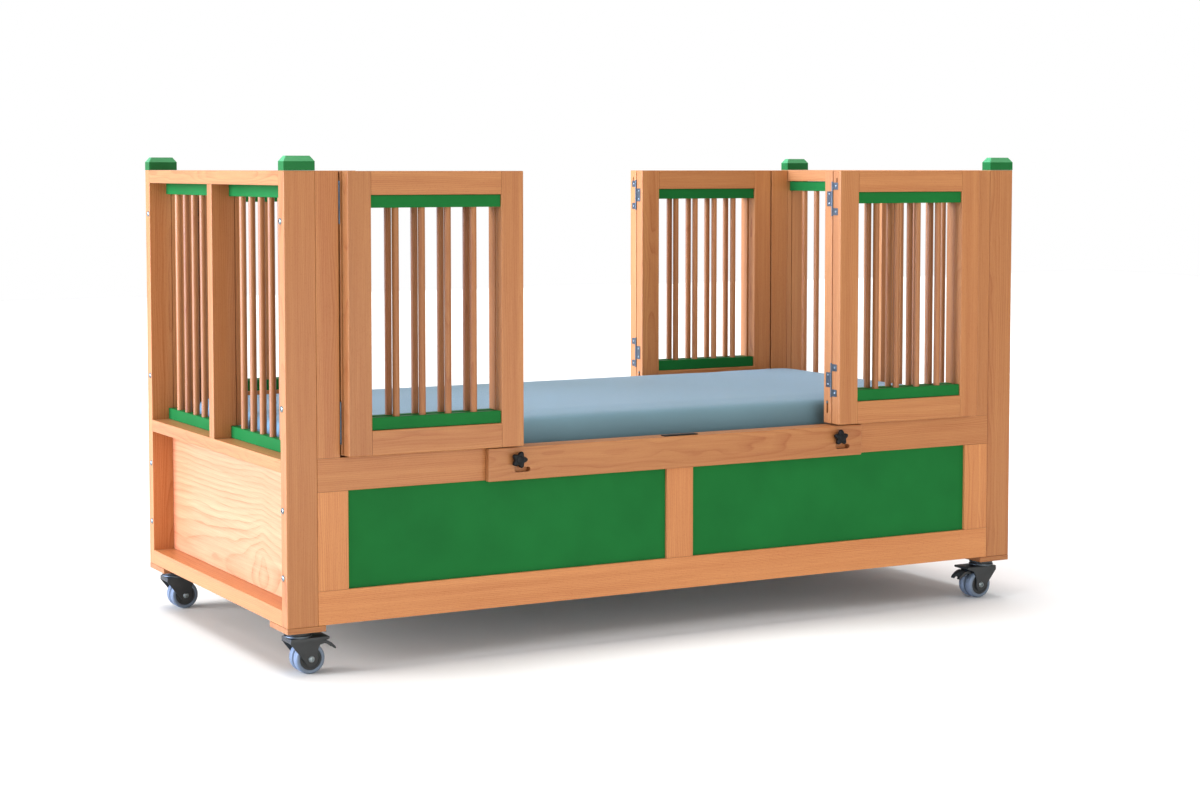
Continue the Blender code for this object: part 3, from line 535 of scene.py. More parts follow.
def loose_groups(mesh):
    """The vertices of each loose part, in order."""
    parent = list(range(len(mesh.vertices)))

    def root(index):
        while parent[index] != index:
            parent[index] = parent[parent[index]]
            index = parent[index]
        return index

    for edge in mesh.edges:
        first, second = (root(index) for index in edge.vertices)
        if first != second:
            parent[max(first, second)] = min(first, second)
    groups = {}
    for index in range(len(mesh.vertices)):
        groups.setdefault(root(index), []).append(index)
    return [groups[key] for key in sorted(groups)]


def inwards(sign, half, near, far):
    return tuple(sorted((sign * (half - near), sign * (half - far))))


def along(end, near, far):
    return inwards(end, HALF_LENGTH, near, far)


def across(side, near, far):
    return inwards(side, HALF_WIDTH, near, far)


# ------------------------------------------------------------------ joinery

JOINT = 0.0003  # half of the hairline at a glued joint
CUT = 0.010


def frame_boards(node, body, outer, windows, regions, cutters=(), edge=0.0016):
    """A glued frame: one bevelled frame shape, parted at its joints into flush boards."""
    whole = carve(blocks("whole", outer), blocks("windows", *windows))
    soften(whole, edge, 3)
    for cutter in cutters:
        carve(whole, cutter)
    for label, region, axis in regions:
        board = bpy.data.objects.new(f"{node}_{label}", whole.data.copy())
        bpy.context.scene.collection.objects.link(board)
        reach = []
        for pair, limits in zip(region, outer):
            low = pair[0] - CUT if abs(pair[0] - min(limits)) < 1e-6 else pair[0] + JOINT
            high = pair[1] + CUT if abs(pair[1] - max(limits)) < 1e-6 else pair[1] - JOINT
            reach.append((low, high))
        carve(board, blocks("region", reach), "INTERSECT")
        give_grain(board, axis)
        dress(board, "beech", body, node)
    bpy.data.objects.remove(whole)


def round_cutter(x, y, low, high, radius):
    bm = bmesh.new()
    profile = [(0, 0), (radius, 0), (radius, high - low), (0, high - low)]
    add_turned(bm, (x, y, low), (0, 0, 1), profile, 20)
    return object_from("bore", bm)


def make_end(end_name, end):
    node = f"end_frame_{end_name}"
    low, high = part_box(node)
    outer = (along(end, 0, POST_X), (-HALF_WIDTH, HALF_WIDTH), (FRAME_BOTTOM, high.z))
    inner = HALF_WIDTH - POST_Y
    through = along(end, -CUT, POST_X + CUT)
    grille_opening = (END_MIDDLE_RAIL[1], END_TOP_RAIL)
    windows = [(through, (-inner, inner), (END_BOTTOM_RAIL_TOP, END_MIDDLE_RAIL[0]))]
    for sign in (-1, 1):
        windows.append((through, tuple(sorted((sign * END_MULLION, sign * inner))), grille_opening))
    cutters = []
    for z in END_STRIP_NOTCHES:
        notch = (along(end, NOTCH_DEPTH, POST_X + CUT), (-END_MULLION - CUT, END_MULLION + CUT), z)
        cutters.append(blocks("notch", notch))
    groove = along(end, *GROOVE)
    groove_z = (END_STRIP_NOTCHES[0][0], END_STRIP_NOTCHES[1][1])
    middle = END_MULLION - GROOVE_DEPTH
    for side in (-1, 1):
        for low_y, high_y in ((middle, END_MULLION + CUT), (inner - CUT, inner + GROOVE_DEPTH)):
            y = tuple(sorted((side * low_y, side * high_y)))
            cutters.append(blocks("groove", (groove, y, groove_z)))
    full = along(end, 0, POST_X)
    regions = [
        ("top_rail", (full, (-inner, inner), (END_TOP_RAIL, high.z)), 1),
        ("middle_rail", (full, (-inner, inner), END_MIDDLE_RAIL), 1),
        ("bottom_rail", (full, (-inner, inner), (FRAME_BOTTOM, END_BOTTOM_RAIL_TOP)), 1),
        ("middle_post", (full, (-END_MULLION, END_MULLION), grille_opening), 2),
    ]
    for side_name, side in SIDES.items():
        post = (full, across(side, 0, POST_Y), (FRAME_BOTTOM, high.z))
        regions.append((f"post_{side_name}", post, 2))
    frame_boards(node, "case", outer, windows, regions, cutters)
    for side_name, side in SIDES.items():
        foot = blocks(f"foot_{side_name}_{end_name}",
                      (along(end, 0, FOOT_X), across(side, 0, FOOT_Y), (low.z, FOOT_TOP)))
        soften(foot, 0.0012, 2)
        give_grain(foot, 0)
        dress(foot, "beech", "case", node)

    node = f"end_panel_{end_name}"
    low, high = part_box(node)
    panel = soften(blocks(f"panel_{end_name}", tuple(zip(low, high))), 0.0005, 1)
    eye = (end * (HALF_LENGTH - 0.150), end * 0.21, 0.205)
    give_grain(panel, 1, eye)
    dress(panel, "panel", "case", node)
    make_grille(f"end_grille_{end_name}", "case", 1, END_MULLION, 6)
    make_bolt_heads(end_name, end)


def make_grille(node, body, axis, middle_half, count):
    """Two painted strips and the round spindles between them."""
    low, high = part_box(node)
    lower = (low.z, low.z + STRIP_HEIGHT)
    upper = (high.z - STRIP_HEIGHT, high.z)
    for label, z in (("lower", lower), ("upper", upper)):
        bar = blocks(f"{node}_strip_{label}", ((low.x, high.x), (low.y, high.y), z))
        soften(bar, 0.0012, 3)
        dress(bar, "green_paint", body, node)
    across_axis = 1 - axis
    depth = (low[across_axis] + high[across_axis]) / 2
    places = []
    if middle_half:
        pitch = (high[axis] - middle_half) / (count + 1)
        for sign in (-1, 1):
            places += [sign * (middle_half + number * pitch) for number in range(1, count + 1)]
    else:
        pitch = (high[axis] - low[axis]) / (count + 1)
        places = [low[axis] + number * pitch for number in range(1, count + 1)]
    bm = bmesh.new()
    for place in places:
        start = [0.0, 0.0, lower[1] - SPINDLE_LAP]
        start[axis] = place
        start[across_axis] = depth
        stop = list(start)
        stop[2] = upper[0] + SPINDLE_LAP
        add_bar(bm, start, stop, SPINDLE_RADIUS, 28)
    spindles = object_from(f"{node}_spindles", bm)
    smooth(spindles)
    give_grain(spindles, 2, spread=(0.004, 0.05), tone=0.82)
    dress(spindles, "beech", body, node)


def hexagon(apothem):
    def outline(angle, radius):
        if radius > apothem:
            return radius
        return apothem / math.cos((angle % (math.pi / 3)) - math.pi / 6)
    return outline


def make_bolt_heads(end_name, end):
    """Four socket heads in each post, over washers of the same finish."""
    bm = bmesh.new()
    profile = [(0.0, -0.0015), (0.0078, -0.0015), (0.0078, 0.0006), (0.0072, 0.0018), (0.0058, 0.0030),
               (0.0040, 0.0036), (0.0028, 0.0036), (0.0028, 0.0012), (0.0, 0.0012)]
    for side in SIDES.values():
        for z in BOLT_HEAD_HEIGHTS:
            centre = (end * HALF_LENGTH, side * (HALF_WIDTH - BOLT_HEAD_INSET), z)
            add_turned(bm, centre, (end, 0, 0), profile, 36, hexagon(0.0028))
    heads = smooth(object_from(f"post_bolts_{end_name}", bm), 40)
    dress(heads, "zinc", "case")


def make_side(side_name, side):
    node = f"side_frame_{side_name}"
    low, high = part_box(node)
    length = (low.x, high.x)
    deep = across(side, 0, POST_Y)
    outer = (length, deep, (low.z, high.z))
    through = across(side, -CUT, POST_Y + CUT)
    opening = HALF_LENGTH - JAMB_EDGE
    window_end = HALF_LENGTH - STILE_EDGE
    windows = [((-opening, opening), through, (SIDE_RAIL_TOP, high.z + CUT))]
    for sign in (-1, 1):
        windows.append((tuple(sorted((sign * MULLION_HALF, sign * window_end))), through, SIDE_WINDOW))
    rebate_x = (-window_end - PANEL_LAP, window_end + PANEL_LAP)
    rebate_z = (SIDE_WINDOW[0] - PANEL_LAP, SIDE_WINDOW[1] + PANEL_LAP)
    cutters = [blocks("rebate", (rebate_x, across(side, PANEL_RECESS, POST_Y + CUT), rebate_z))]
    for sign in (-1, 1):
        x = sign * (HALF_LENGTH - BOLT_PLACE[0])
        y = side * (HALF_WIDTH - BOLT_PLACE[1])
        bore_z = (SIDE_RAIL_TOP - BOLT_HOLE_DEPTH, SIDE_RAIL_TOP + CUT)
        cutters.append(round_cutter(x, y, *bore_z, BOLT_BORE))
    regions = [
        ("lower_rail", (length, deep, (low.z, SIDE_WINDOW[0])), 0),
        ("upper_rail", (length, deep, (SIDE_WINDOW[1], SIDE_RAIL_TOP)), 0),
        ("middle_post", ((-MULLION_HALF, MULLION_HALF), deep, SIDE_WINDOW), 2),
    ]
    for end_name, end in ENDS.items():
        stile = (along(end, POST_X, STILE_EDGE), deep, SIDE_WINDOW)
        stile = ((max(stile[0][0], low.x), min(stile[0][1], high.x)), stile[1], stile[2])
        regions.append((f"stile_{end_name}", stile, 2))
        jamb = along(end, POST_X, JAMB_EDGE)
        jamb = ((max(jamb[0], low.x), min(jamb[1], high.x)), deep, (SIDE_RAIL_TOP, high.z))
        regions.append((f"jamb_{end_name}", jamb, 2))
    frame_boards(node, "case", outer, windows, regions, cutters)

    bm = bmesh.new()
    add_block(bm, (-0.050, 0.050), across(side, -0.008, 0.014), (SIDE_RAIL_TOP, SIDE_RAIL_TOP + 0.0022))
    plate = soften(object_from(f"catch_plate_{side_name}", bm), 0.0009, 2)
    dress(plate, "black_plastic", "case")
    make_lock_board(side_name, side)


def make_lock_board(side_name, side):
    node = f"lock_board_{side_name}"
    low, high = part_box(node)
    board = soften(blocks(f"{node}_board", tuple(zip(low, high))), 0.0018, 3)
    half = LOCK_SLOT_HALF
    for sign in (-1, 1):
        x = sign * KNOB_X
        reach = SLOT_FOOT_REACH
        points = arc((x, KNOB_Z), half, 0, 180)
        points += arc((x, SLOT_FOOT_Z), half, 180, 270)
        points += arc((x + reach, SLOT_FOOT_Z), half, -90, 90)
        points.append((x + half, SLOT_FOOT_Z + half))
        if side > 0:
            points = [(2 * x - u, z) for u, z in points]
        bm = bmesh.new()
        add_outline(bm, points, low.y - CUT, high.y + CUT)
        carve(board, object_from("slot", bm))
    give_grain(board, 0)
    dress(board, "beech", "case", node)
    for end_name, end in ENDS.items():
        make_star_knob(end_name, end, side_name, side)


def make_star_knob(end_name, end, side_name, side):
    """A five-lobed head with a rounded rim and a raised middle, on a hub and a stud."""
    node = f"star_knob_{side_name}_{end_name}"

    def lobes(angle, radius):
        share = max(0.0, min(1.0, (radius - 0.0095) / 0.0070))
        return radius + 0.0035 * share * math.cos(5 * (angle - KNOB_TURN[end_name]))

    bm = bmesh.new()
    centre = (end * KNOB_X, side * HALF_WIDTH, KNOB_Z)
    outwards = (0, side, 0)
    head = [(0.0, 0.0268), (0.0100, 0.0268), (0.0156, 0.0272), (0.0170, 0.0282), (0.0177, 0.0298),
            (0.0177, 0.0360), (0.0173, 0.0376), (0.0162, 0.0388), (0.0146, 0.0394), (0.0115, 0.0392),
            (0.0098, 0.0390), (0.0092, 0.0399), (0.0080, 0.0403), (0.0, 0.0405)]
    add_turned(bm, centre, outwards, head, 80, lobes)
    hub = [(0.0, 0.0190), (0.0096, 0.0190), (0.0100, 0.0196), (0.0100, 0.0266), (0.0, 0.0266)]
    add_turned(bm, centre, outwards, hub, 32)
    knob = smooth(object_from(f"{node}_head", bm), 50)
    dress(knob, "black_plastic", node, node)
    bm = bmesh.new()
    add_bar(bm, (centre[0], side * (HALF_WIDTH + 0.0004), KNOB_Z),
            (centre[0], side * (HALF_WIDTH + 0.0200), KNOB_Z), 0.0039, 20)
    stud = smooth(object_from(f"{node}_stud", bm))
    dress(stud, "dark_zinc", node, node)


# ------------------------------------------------------------------ doors


def make_leaf(kind, end_name, end, side_name):
    corner = f"{side_name}_{end_name}"
    node = f"{kind}_leaf_frame_{corner}"
    body = f"{kind}_leaf_{corner}"
    low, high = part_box(node)
    near, far = INNER_LEAF if kind == "inner" else OUTER_LEAF
    outer = ((low.x, high.x), (low.y, high.y), (low.z, high.z))
    inner_x = along(end, near + LEAF_STILE, far - LEAF_STILE)
    inner_z = (low.z + LEAF_BOTTOM_RAIL, high.z - LEAF_TOP_RAIL)
    windows = [(inner_x, (low.y - CUT, high.y + CUT), inner_z)]
    cutters = []
    y = (low.y + high.y) / 2
    edge = end * (HALF_LENGTH - far)
    if kind == "inner":
        x = end * (HALF_LENGTH - BOLT_PLACE[0])
        cutters.append(round_cutter(x, y, low.z - CUT, BOLT_BORE_TOP, BOLT_BORE))
        points = arc((y, BOLT_CHANNEL_Z[1]), BOLT_CHANNEL_HALF, 0, 180)
        points += arc((y, BOLT_CHANNEL_Z[0]), BOLT_CHANNEL_HALF, 180, 360)
        bm = bmesh.new()
        add_outline(bm, points, *sorted((x, edge - end * CUT)), axis="X")
        cutters.append(object_from("slot", bm))
    else:
        strike = tuple(sorted((edge + end * STRIKE_DEPTH, edge - end * CUT)))
        cutters.append(blocks("strike", (strike, (y - STRIKE_HALF, y + STRIKE_HALF), STRIKE_Z)))
    regions = [
        ("bottom_rail", (inner_x, outer[1], (low.z, inner_z[0])), 0),
        ("top_rail", (inner_x, outer[1], (inner_z[1], high.z)), 0),
        ("hanging_stile", (along(end, near, near + LEAF_STILE), outer[1], outer[2]), 2),
        ("free_stile", (along(end, far - LEAF_STILE, far), outer[1], outer[2]), 2),
    ]
    frame_boards(node, body, outer, windows, regions, cutters, 0.0020)
    make_grille(f"{kind}_leaf_grille_{corner}", body, 0, 0.0, 4)


def add_screw(bm, centre, axis, radius=0.0032):
    profile = [(0.0, -0.0010), (radius, -0.0010), (radius, 0.0001), (radius * 0.8, 0.0006),
               (radius * 0.45, 0.0008), (radius * 0.36, 0.0003), (0.0, 0.0003)]
    add_turned(bm, centre, axis, profile, 20)


def hinge_plate(name, face_x, out, y, z, thickness, screws, body):
    """A flat hinge plate on an upright edge that faces along X, with its screws."""
    bm = bmesh.new()
    radius = 0.0022
    low_y, high_y = sorted(y)
    corners = ((high_y - radius, z[1] - radius, 0), (low_y + radius, z[1] - radius, 90),
               (low_y + radius, z[0] + radius, 180), (high_y - radius, z[0] + radius, 270))
    points = []
    for centre_y, centre_z, start in corners:
        points += arc((centre_y, centre_z), radius, start, start + 90, 3)
    add_outline(bm, points, *sorted((face_x, face_x + out * thickness)), axis="X")
    plate = soften(object_from(name, bm), 0.0003, 2, 40)
    dress(plate, "dark_zinc", body)
    bm = bmesh.new()
    for screw_y, screw_z in screws:
        add_screw(bm, (face_x + out * thickness, screw_y, screw_z), (out, 0, 0))
    heads = smooth(object_from(name + "_screws", bm), 45)
    dress(heads, "zinc", body)


def knuckles(name, x, y, spans, body, radius=0.0024):
    bm = bmesh.new()
    for low, high in spans:
        add_bar(bm, (x, y, low), (x, y, high), radius, 20, 0.0004)
    dress(smooth(object_from(name, bm)), "dark_zinc", body)


def make_hinges(end_name, end, side_name, side):
    corner = f"{side_name}_{end_name}"
    inner, outer = f"inner_leaf_{corner}", f"outer_leaf_{corner}"
    pivot_y = side * (HALF_WIDTH - PIVOT_DEPTH)
    edge = end * (HALF_LENGTH - LEAF_FAR_EDGE)
    fold_x = end * (HALF_LENGTH - FOLD_PIVOT)
    for label, middle in FOLD_HINGES:
        name = f"fold_hinge_{label}_{corner}"
        inner_y = across(side, 0.0005, 0.0235)
        screws = [(side * (HALF_WIDTH - 0.0140), middle + dz) for dz in (-0.0125, 0.0125)]
        hinge_plate(name + "_plate", edge, -end, inner_y, (middle - 0.020, middle + 0.020), 0.0013,
                    screws, inner)
        outer_y = across(side, -0.0260, -0.0035)
        for tab, centre in (("top", middle + 0.034), ("bottom", middle - 0.034)):
            screws = [(side * (HALF_WIDTH + 0.0165), centre)]
            hinge_plate(f"{name}_tab_{tab}", edge, -end, outer_y, (centre - 0.0095, centre + 0.0095),
                        0.0013, screws, outer)
        knuckles(name + "_middle_knuckle", fold_x, pivot_y, [(middle - 0.0200, middle + 0.0200)], inner)
        ends = [(middle - 0.0460, middle - 0.0204), (middle + 0.0204, middle + 0.0460)]
        knuckles(name + "_end_knuckles", fold_x, pivot_y, ends, outer)
    door_x = end * (HALF_LENGTH - DOOR_PIVOT)
    jamb_edge = end * (HALF_LENGTH - JAMB_EDGE)
    leaf_edge = end * (HALF_LENGTH - INNER_LEAF[0])
    for label, middle in JAMB_HINGES:
        name = f"jamb_hinge_{label}_{corner}"
        span = (middle - 0.051, middle + 0.051)
        depth = across(side, 0.0005, 0.0290)
        screws = [(side * (HALF_WIDTH - 0.017), middle + dz) for dz in (-0.034, 0.0, 0.034)]
        hinge_plate(name + "_jamb_plate", jamb_edge, -end, depth, span, 0.0012, screws, "case")
        hinge_plate(name + "_leaf_plate", leaf_edge, end, depth, span, 0.0012, screws, inner)
        knuckles(name + "_middle_knuckle", door_x, pivot_y, [(middle - 0.0168, middle + 0.0168)], inner,
                 0.0017)
        ends = [(middle - 0.0510, middle - 0.0172), (middle + 0.0172, middle + 0.0510)]
        knuckles(name + "_end_knuckles", door_x, pivot_y, ends, "case", 0.0017)


def make_slide_bolt(end_name, end, side_name, side):
    node = f"slide_bolt_{side_name}_{end_name}"
    low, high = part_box(node)
    x = end * (HALF_LENGTH - BOLT_PLACE[0])
    y = side * (HALF_WIDTH - BOLT_PLACE[1])
    bm = bmesh.new()
    add_bar(bm, (x, y, low.z), (x, y, high.z), 0.0040, 24, 0.0010)
    tip = end * (HALF_LENGTH - LEAF_FAR_EDGE - 0.0024)
    add_bar(bm, (x, y, BOLT_KNOB_Z), (tip, y, BOLT_KNOB_Z), 0.0032, 20, 0.0008)
    bolt = smooth(object_from(f"{node}_pin", bm))
    dress(bolt, "zinc", node, node)


# ------------------------------------------------------------------ casters


def make_caster(end_name, end, side_name, side):
    corner = f"{side_name}_{end_name}"
    x = end * (HALF_LENGTH - CASTER[0])
    y = side * (HALF_WIDTH - CASTER[1])
    towards = -end
    fork = f"caster_fork_{corner}"

    plate = blocks(f"caster_plate_{corner}", ((x - 0.040, x + 0.040), (y - 0.031, y + 0.031),
                                              (0.1045, 0.1074)))
    dress(soften(plate, 0.0010, 2), "dark_zinc", "case")

    outline = [(-0.0290, 0.0888), (-0.0300, 0.0780)]
    outline += arc((TRAIL, WHEEL_RADIUS), 0.0165, 206, 380, 14)
    outline += [(0.0400, 0.0610), (0.0470, 0.0755), (0.0560, 0.0800), (0.0680, 0.0826),
                (0.0700, 0.0850), (0.0690, 0.0888)]
    points = [(x + towards * u, z) for u, z in outline]
    bm = bmesh.new()
    add_outline(bm, points, y - HOUSING_HALF_WIDTH, y + HOUSING_HALF_WIDTH)
    housing = object_from(f"caster_housing_{corner}", bm)
    slot_y = (y - HOUSING_SLOT_HALF, y + HOUSING_SLOT_HALF)
    slot = blocks("slot", ((x - 0.1, x + 0.1), slot_y, (0.0, 0.0782)))
    carve(housing, slot)
    soften(housing, 0.0014, 3, 40)
    smooth(housing, 50)
    dress(housing, "dark_grey_plastic", fork, fork)

    bm = bmesh.new()
    profile = [(0.0, 0.0870), (0.0310, 0.0870), (0.0325, 0.0884), (0.0338, 0.0904), (0.0342, 0.0922),
               (0.0336, 0.0940), (0.0318, 0.0950), (0.0, 0.0950)]
    add_turned(bm, (x, y, 0), (0, 0, 1), profile, 56)
    brim = smooth(object_from(f"caster_brim_{corner}", bm), 40)
    dress(brim, "dark_zinc", fork, fork)
    bm = bmesh.new()
    profile = [(0.0, 0.0948), (0.0300, 0.0948), (0.0300, 0.0968), (0.0322, 0.0976), (0.0328, 0.0994),
               (0.0320, 0.1016), (0.0295, 0.1030), (0.0, 0.1034)]
    add_turned(bm, (x, y, 0), (0, 0, 1), profile, 56)
    head = smooth(object_from(f"caster_head_{corner}", bm), 40)
    dress(head, "dark_grey_plastic", fork, fork)

    axle_x = x + towards * TRAIL
    bm = bmesh.new()
    nut = [(0.0, 0.0), (0.0078, 0.0), (0.0078, 0.0012), (0.0066, 0.0020), (0.0064, 0.0034),
           (0.0054, 0.0042), (0.0034, 0.0042), (0.0030, 0.0014), (0.0, 0.0014)]
    for sign in (-1, 1):
        add_turned(bm, (axle_x, y + sign * 0.0306, WHEEL_RADIUS), (0, sign, 0), nut, 36, hexagon(0.0030))
    add_bar(bm, (axle_x, y - 0.0300, WHEEL_RADIUS), (axle_x, y + 0.0300, WHEEL_RADIUS), 0.0039, 20)
    axle = smooth(object_from(f"caster_axle_{corner}", bm), 40)
    dress(axle, "zinc", fork, fork)

    wheel = f"caster_wheel_{corner}"
    bm = bmesh.new()
    for sign in (-1, 1):
        tread = [(0.0, 0.0008), (0.0285, 0.0008), (0.0292, 0.0034), (0.0345, 0.0038),
                 (0.0364, 0.0050), (0.0373, 0.0074), (WHEEL_RADIUS, 0.0105), (0.0374, 0.0190),
                 (0.0368, 0.0222), (0.0355, 0.0246), (0.0336, 0.0260), (0.0302, 0.0265),
                 (0.0277, 0.0259), (0.0272, 0.0230), (0.0, 0.0230)]
        add_turned(bm, (axle_x, y, WHEEL_RADIUS), (0, sign, 0), tread, 72)
    tyres = smooth(object_from(f"caster_tyres_{corner}", bm), 50)
    dress(tyres, "grey_tyre", wheel, wheel)
    bm = bmesh.new()
    for sign in (-1, 1):
        hub = [(0.0, 0.0220), (0.0271, 0.0220), (0.0271, 0.0244), (0.0262, 0.0254), (0.0225, 0.0254),
               (0.0212, 0.0238), (0.0130, 0.0238), (0.0120, 0.0262), (0.0, 0.0264)]
        add_turned(bm, (axle_x, y, WHEEL_RADIUS), (0, sign, 0), hub, 48)
    hubs = smooth(object_from(f"caster_hubs_{corner}", bm), 40)
    dress(hubs, "dark_grey_plastic", wheel, wheel)

    outline = [(0.0480, 0.0728), (0.0610, 0.0776), (0.0700, 0.0758), (0.0790, 0.0706), (0.0880, 0.0622),
               (0.0908, 0.0566), (0.0884, 0.0548), (0.0832, 0.0588), (0.0752, 0.0640), (0.0690, 0.0676),
               (0.0610, 0.0704), (0.0500, 0.0684)]
    points = [(x + towards * u, z) for u, z in outline]
    bm = bmesh.new()
    add_outline(bm, points, y - PEDAL_HALF_WIDTH, y + PEDAL_HALF_WIDTH)
    pedal = object_from(f"brake_pedal_lever_{corner}", bm)
    notch_y = (y - PEDAL_NOTCH_HALF, y + PEDAL_NOTCH_HALF)
    notch = blocks("notch", ((x + towards * 0.082, x + towards * 0.100), notch_y, (0.040, 0.080)))
    carve(pedal, notch)
    soften(pedal, 0.0008, 2, 40)
    smooth(pedal, 50)
    lever = f"brake_pedal_{corner}"
    dress(pedal, "dark_grey_plastic", lever, lever)


# ------------------------------------------------------------------ mattress

MATTRESS_CUT_X = 0.010
CROWN = 0.009
VOXEL = 0.016
CLOTH_STEPS = 16


def mattress_block():
    """The foam block in its cover, a little smaller than it ends up."""
    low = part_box("mattress_back")[0]
    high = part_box("mattress_leg")[1]
    bm = bmesh.new()
    inset = 0.006
    add_block(bm, (low.x + inset, high.x - inset), (low.y + inset, high.y - inset),
              (low.z + 0.002, high.z - CROWN))
    upright = [edge for edge in bm.edges
               if abs(edge.verts[0].co.z - edge.verts[1].co.z) > 0.05]
    bmesh.ops.bevel(bm, geom=upright, offset=0.045, segments=6, affect="EDGES", profile=0.5)
    rims = [edge for edge in bm.edges if edge.calc_face_angle(0.0) > 1.0]
    bmesh.ops.bevel(bm, geom=rims, offset=0.020, segments=4, affect="EDGES", profile=0.5)
    return object_from("mattress", bm), low, high


def make_mattress():
    """One padded pad, swollen a little, crowned, and cut in two halves."""
    thing, low, high = mattress_block()
    remesh = thing.modifiers.new("remesh", "REMESH")
    remesh.mode = "VOXEL"
    remesh.voxel_size = VOXEL
    settle(thing)
    start = [vertex.co.copy() for vertex in thing.data.vertices]
    cloth = thing.modifiers.new("cloth", "CLOTH")
    cloth.settings.quality = 5
    cloth.settings.mass = 0.3
    cloth.settings.tension_stiffness = 25.0
    cloth.settings.compression_stiffness = 25.0
    cloth.settings.bending_stiffness = 4.0
    cloth.settings.use_pressure = True
    cloth.settings.uniform_pressure_force = 4.0
    cloth.settings.effector_weights.gravity = 0.0
    cloth.collision_settings.use_collision = False
    scene = bpy.context.scene
    for number in range(1, CLOTH_STEPS + 1):
        scene.frame_set(number)
    settle(thing)
    scene.frame_set(1)
    for vertex, before in zip(thing.data.vertices, start):
        move = vertex.co - before
        if move.length > CROWN:
            move = move.normalized() * CROWN
        vertex.co = before + move
        span_x = max(0.0, 1.0 - (before.x / high.x) ** 4)
        span_y = max(0.0, 1.0 - (before.y / high.y) ** 4)
        lift = 0.004 * span_x * span_y if before.z > 0.53 else 0.0
        vertex.co.z = max(low.z + 0.0006, min(high.z - 0.0003, vertex.co.z + lift))
    relax = thing.modifiers.new("relax", "SMOOTH")
    relax.factor = 0.5
    relax.iterations = 4
    finer = thing.modifiers.new("finer", "SUBSURF")
    finer.levels = 1
    finer.render_levels = 1
    settle(thing)
    for vertex in thing.data.vertices:
        vertex.co.z = max(low.z + 0.0006, vertex.co.z)
    pieces = {"head": (1, ("mattress_back", "mattress_seat")),
              "foot": (-1, ("mattress_leg", "mattress_seat"))}
    for label, (keep, nodes) in pieces.items():
        bm = bmesh.new()
        bm.from_mesh(thing.data)
        geometry = bm.verts[:] + bm.edges[:] + bm.faces[:]
        cut = bmesh.ops.bisect_plane(bm, geom=geometry, dist=1e-5, plane_co=(MATTRESS_CUT_X, 0, 0),
                                     plane_no=(keep, 0, 0), clear_outer=True)
        rim = [item for item in cut["geom_cut"] if isinstance(item, bmesh.types.BMEdge)]
        bmesh.ops.holes_fill(bm, edges=rim, sides=0)
        piece = object_from(f"mattress_{label}", bm)
        smooth(piece, 60)
        piece.data.materials.append(LOOKS["mattress_cover"])
        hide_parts(*nodes)
        if label == "head":
            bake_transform(piece)
        else:
            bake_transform(piece)
    bpy.data.objects.remove(thing)


# ------------------------------------------------------------------ carried-over nodes


def finish_nodes():
    """The nodes whose shape is right get their finish and softened edges."""
    plain = {"lift_base": "coated_steel", "lift_middle_stage": "coated_steel",
             "lying_frame": "coated_steel", "back_section": "coated_steel",
             "leg_section": "coated_steel",
             "side_panel_front": "green_paint", "side_panel_rear": "green_paint"}
    for side_name in SIDES:
        for end_name in ENDS:
            plain[f"post_cap_{side_name}_{end_name}"] = "cap_paint_and_top_highlight"
    for node, look in plain.items():
        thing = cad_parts[node]
        if not thing.material_slots:
            thing.data.materials.append(LOOKS[look])
        for slot in thing.material_slots:
            slot.material = LOOKS[look]
        edges = thing.modifiers.new("edges", "BEVEL")
        edges.width = 0.0016 if node.startswith("post_cap") else 0.0006
        edges.segments = 3 if node.startswith("post_cap") else 1
        edges.limit_method = "ANGLE"
        edges.angle_limit = math.radians(30)


# ------------------------------------------------------------------ stage


def add_area(name, place, target, size, power, colour=(1.0, 1.0, 1.0)):
    light = bpy.data.lights.new(name, "AREA")
    light.shape = "DISK"
    light.size = size
    light.energy = power
    light.color = colour
    lamp = bpy.data.objects.new(name, light)
    lamp.location = place
    lamp.visible_camera = False
    lamp.rotation_euler = (Vector(target) - Vector(place)).to_track_quat("-Z", "Y").to_euler()
    bpy.context.scene.collection.objects.link(lamp)
    return lamp


def add_sun(name, direction, spread, energy, colour):
    """A soft light from very far away. The spread is the angle in degrees that it fills."""
    light = bpy.data.lights.new(name, "SUN")
    light.energy = energy
    light.angle = math.radians(spread)
    light.color = colour
    lamp = bpy.data.objects.new(name, light)
    lamp.rotation_euler = Vector(direction).to_track_quat("-Z", "Y").to_euler()
    bpy.context.scene.collection.objects.link(lamp)
    return lamp


def light_only(lamp, floor, state):
    """Makes a lamp light the floor alone (INCLUDE), or everything but the floor (EXCLUDE)."""
    group = bpy.data.collections.new(f"{lamp.name}_lit")
    group.objects.link(floor)
    group.collection_objects[0].light_linking.link_state = state
    lamp.light_linking.receiver_collection = group


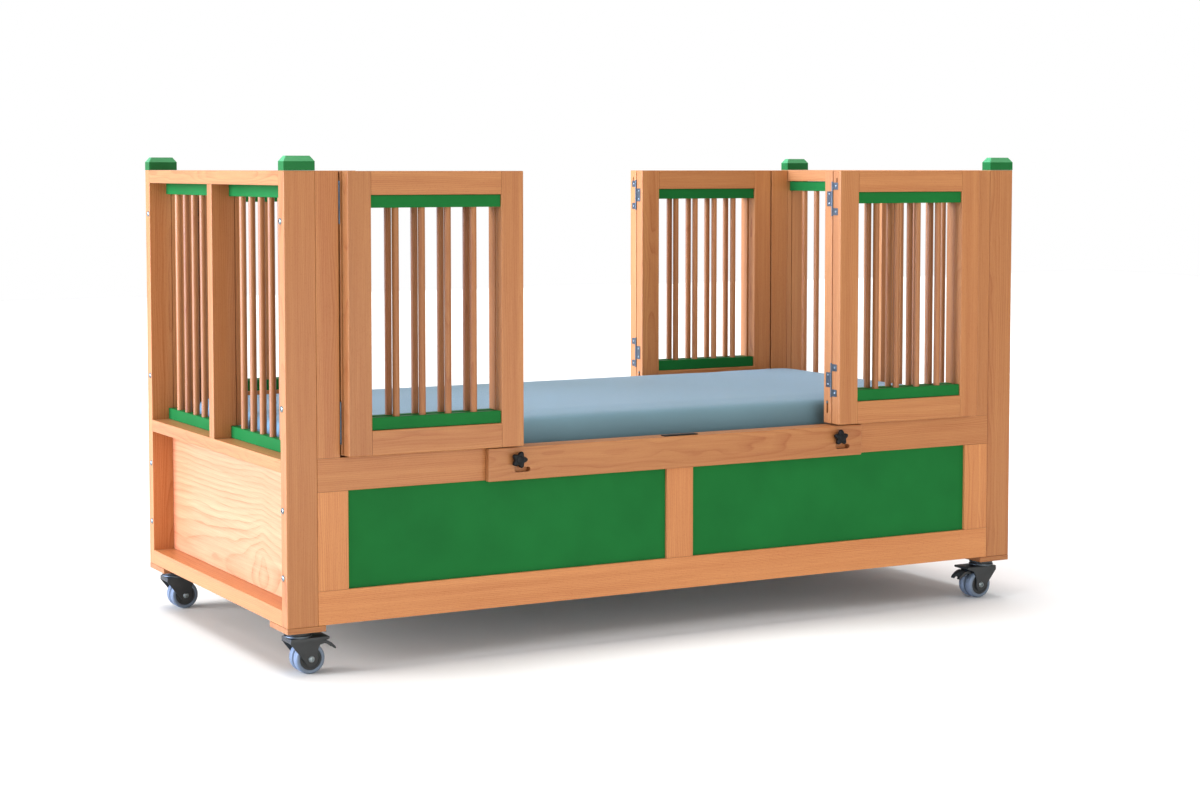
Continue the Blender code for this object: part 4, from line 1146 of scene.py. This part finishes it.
def make_stage():
    scene = bpy.context.scene
    scene.view_settings.view_transform = "Standard"
    bm = bmesh.new()
    bmesh.ops.create_grid(bm, x_segments=8, y_segments=8, size=15.0)
    floor = object_from("floor", bm)
    paper = Look("studio_floor", (0.86, 0.86, 0.86, 1.0), 0.75, Specular_IOR_Level=0.2)
    cloud = paper.noise(paper.place(), 2.0, 2.0)
    paper.colour(paper.mix(cloud, (0.85, 0.85, 0.85, 1.0), (0.87, 0.87, 0.87, 1.0)))
    floor.data.materials.append(paper.material)

    world = bpy.data.worlds.new("studio")
    scene.world = world
    world.use_nodes = True
    background = world.node_tree.nodes["Background"]
    background.inputs["Color"].default_value = (1.0, 1.0, 1.0, 1.0)
    seen = world.node_tree.nodes.new("ShaderNodeLightPath").outputs["Is Camera Ray"]
    level = world.node_tree.nodes.new("ShaderNodeMapRange")
    level.inputs["To Min"].default_value = AMBIENT_LEVEL
    level.inputs["To Max"].default_value = BACKDROP_LEVEL
    world.node_tree.links.new(seen, level.inputs["Value"])
    world.node_tree.links.new(level.outputs[0], background.inputs["Strength"])
    above = (0.06, -0.10, -0.99)
    add_sun("overhead", above, 34, 1.55, (1.0, 1.0, 1.0))
    left = (0.965, -0.20, -0.12)
    add_sun("front", (0.12, 0.98, -0.12), 40, 1.1, (1.0, 1.0, 1.0))
    light_only(add_sun("left", left, 46, 9.0, (0.92, 1.12, 1.62)), floor, "EXCLUDE")
    light_only(add_sun("left_floor", left, 46, 6.0, (1.0, 1.0, 1.0)), floor, "INCLUDE")
    light_only(add_sun("overhead_floor", above, 34, 0.55, (0.97, 1.0, 1.03)), floor, "INCLUDE")
    softbox = add_area("front_softbox", (0.1, -2.9, 0.14), (0.1, -0.5, 0.16), 1.6, 18.0)
    light_only(softbox, floor, "EXCLUDE")

    camera = bpy.data.cameras.new("camera")
    camera.lens = CAMERA_LENS
    camera.sensor_width = 36.0
    camera.shift_y = CAMERA_SHIFT
    camera.clip_end = 100.0
    holder = bpy.data.objects.new("camera", camera)
    holder.location = CAMERA_PLACE
    holder.rotation_euler = Vector(CAMERA_DIRECTION).to_track_quat("-Z", "Y").to_euler()
    scene.collection.objects.link(holder)
    scene.camera = holder


def main():
    make_stage()
    for end_name, end in ENDS.items():
        make_end(end_name, end)
    for side_name, side in SIDES.items():
        make_side(side_name, side)
        for end_name, end in ENDS.items():
            for kind in ("inner", "outer"):
                make_leaf(kind, end_name, end, side_name)
            make_hinges(end_name, end, side_name, side)
            make_slide_bolt(end_name, end, side_name, side)
            make_caster(end_name, end, side_name, side)
    finish_nodes()
    make_mattress()


main()
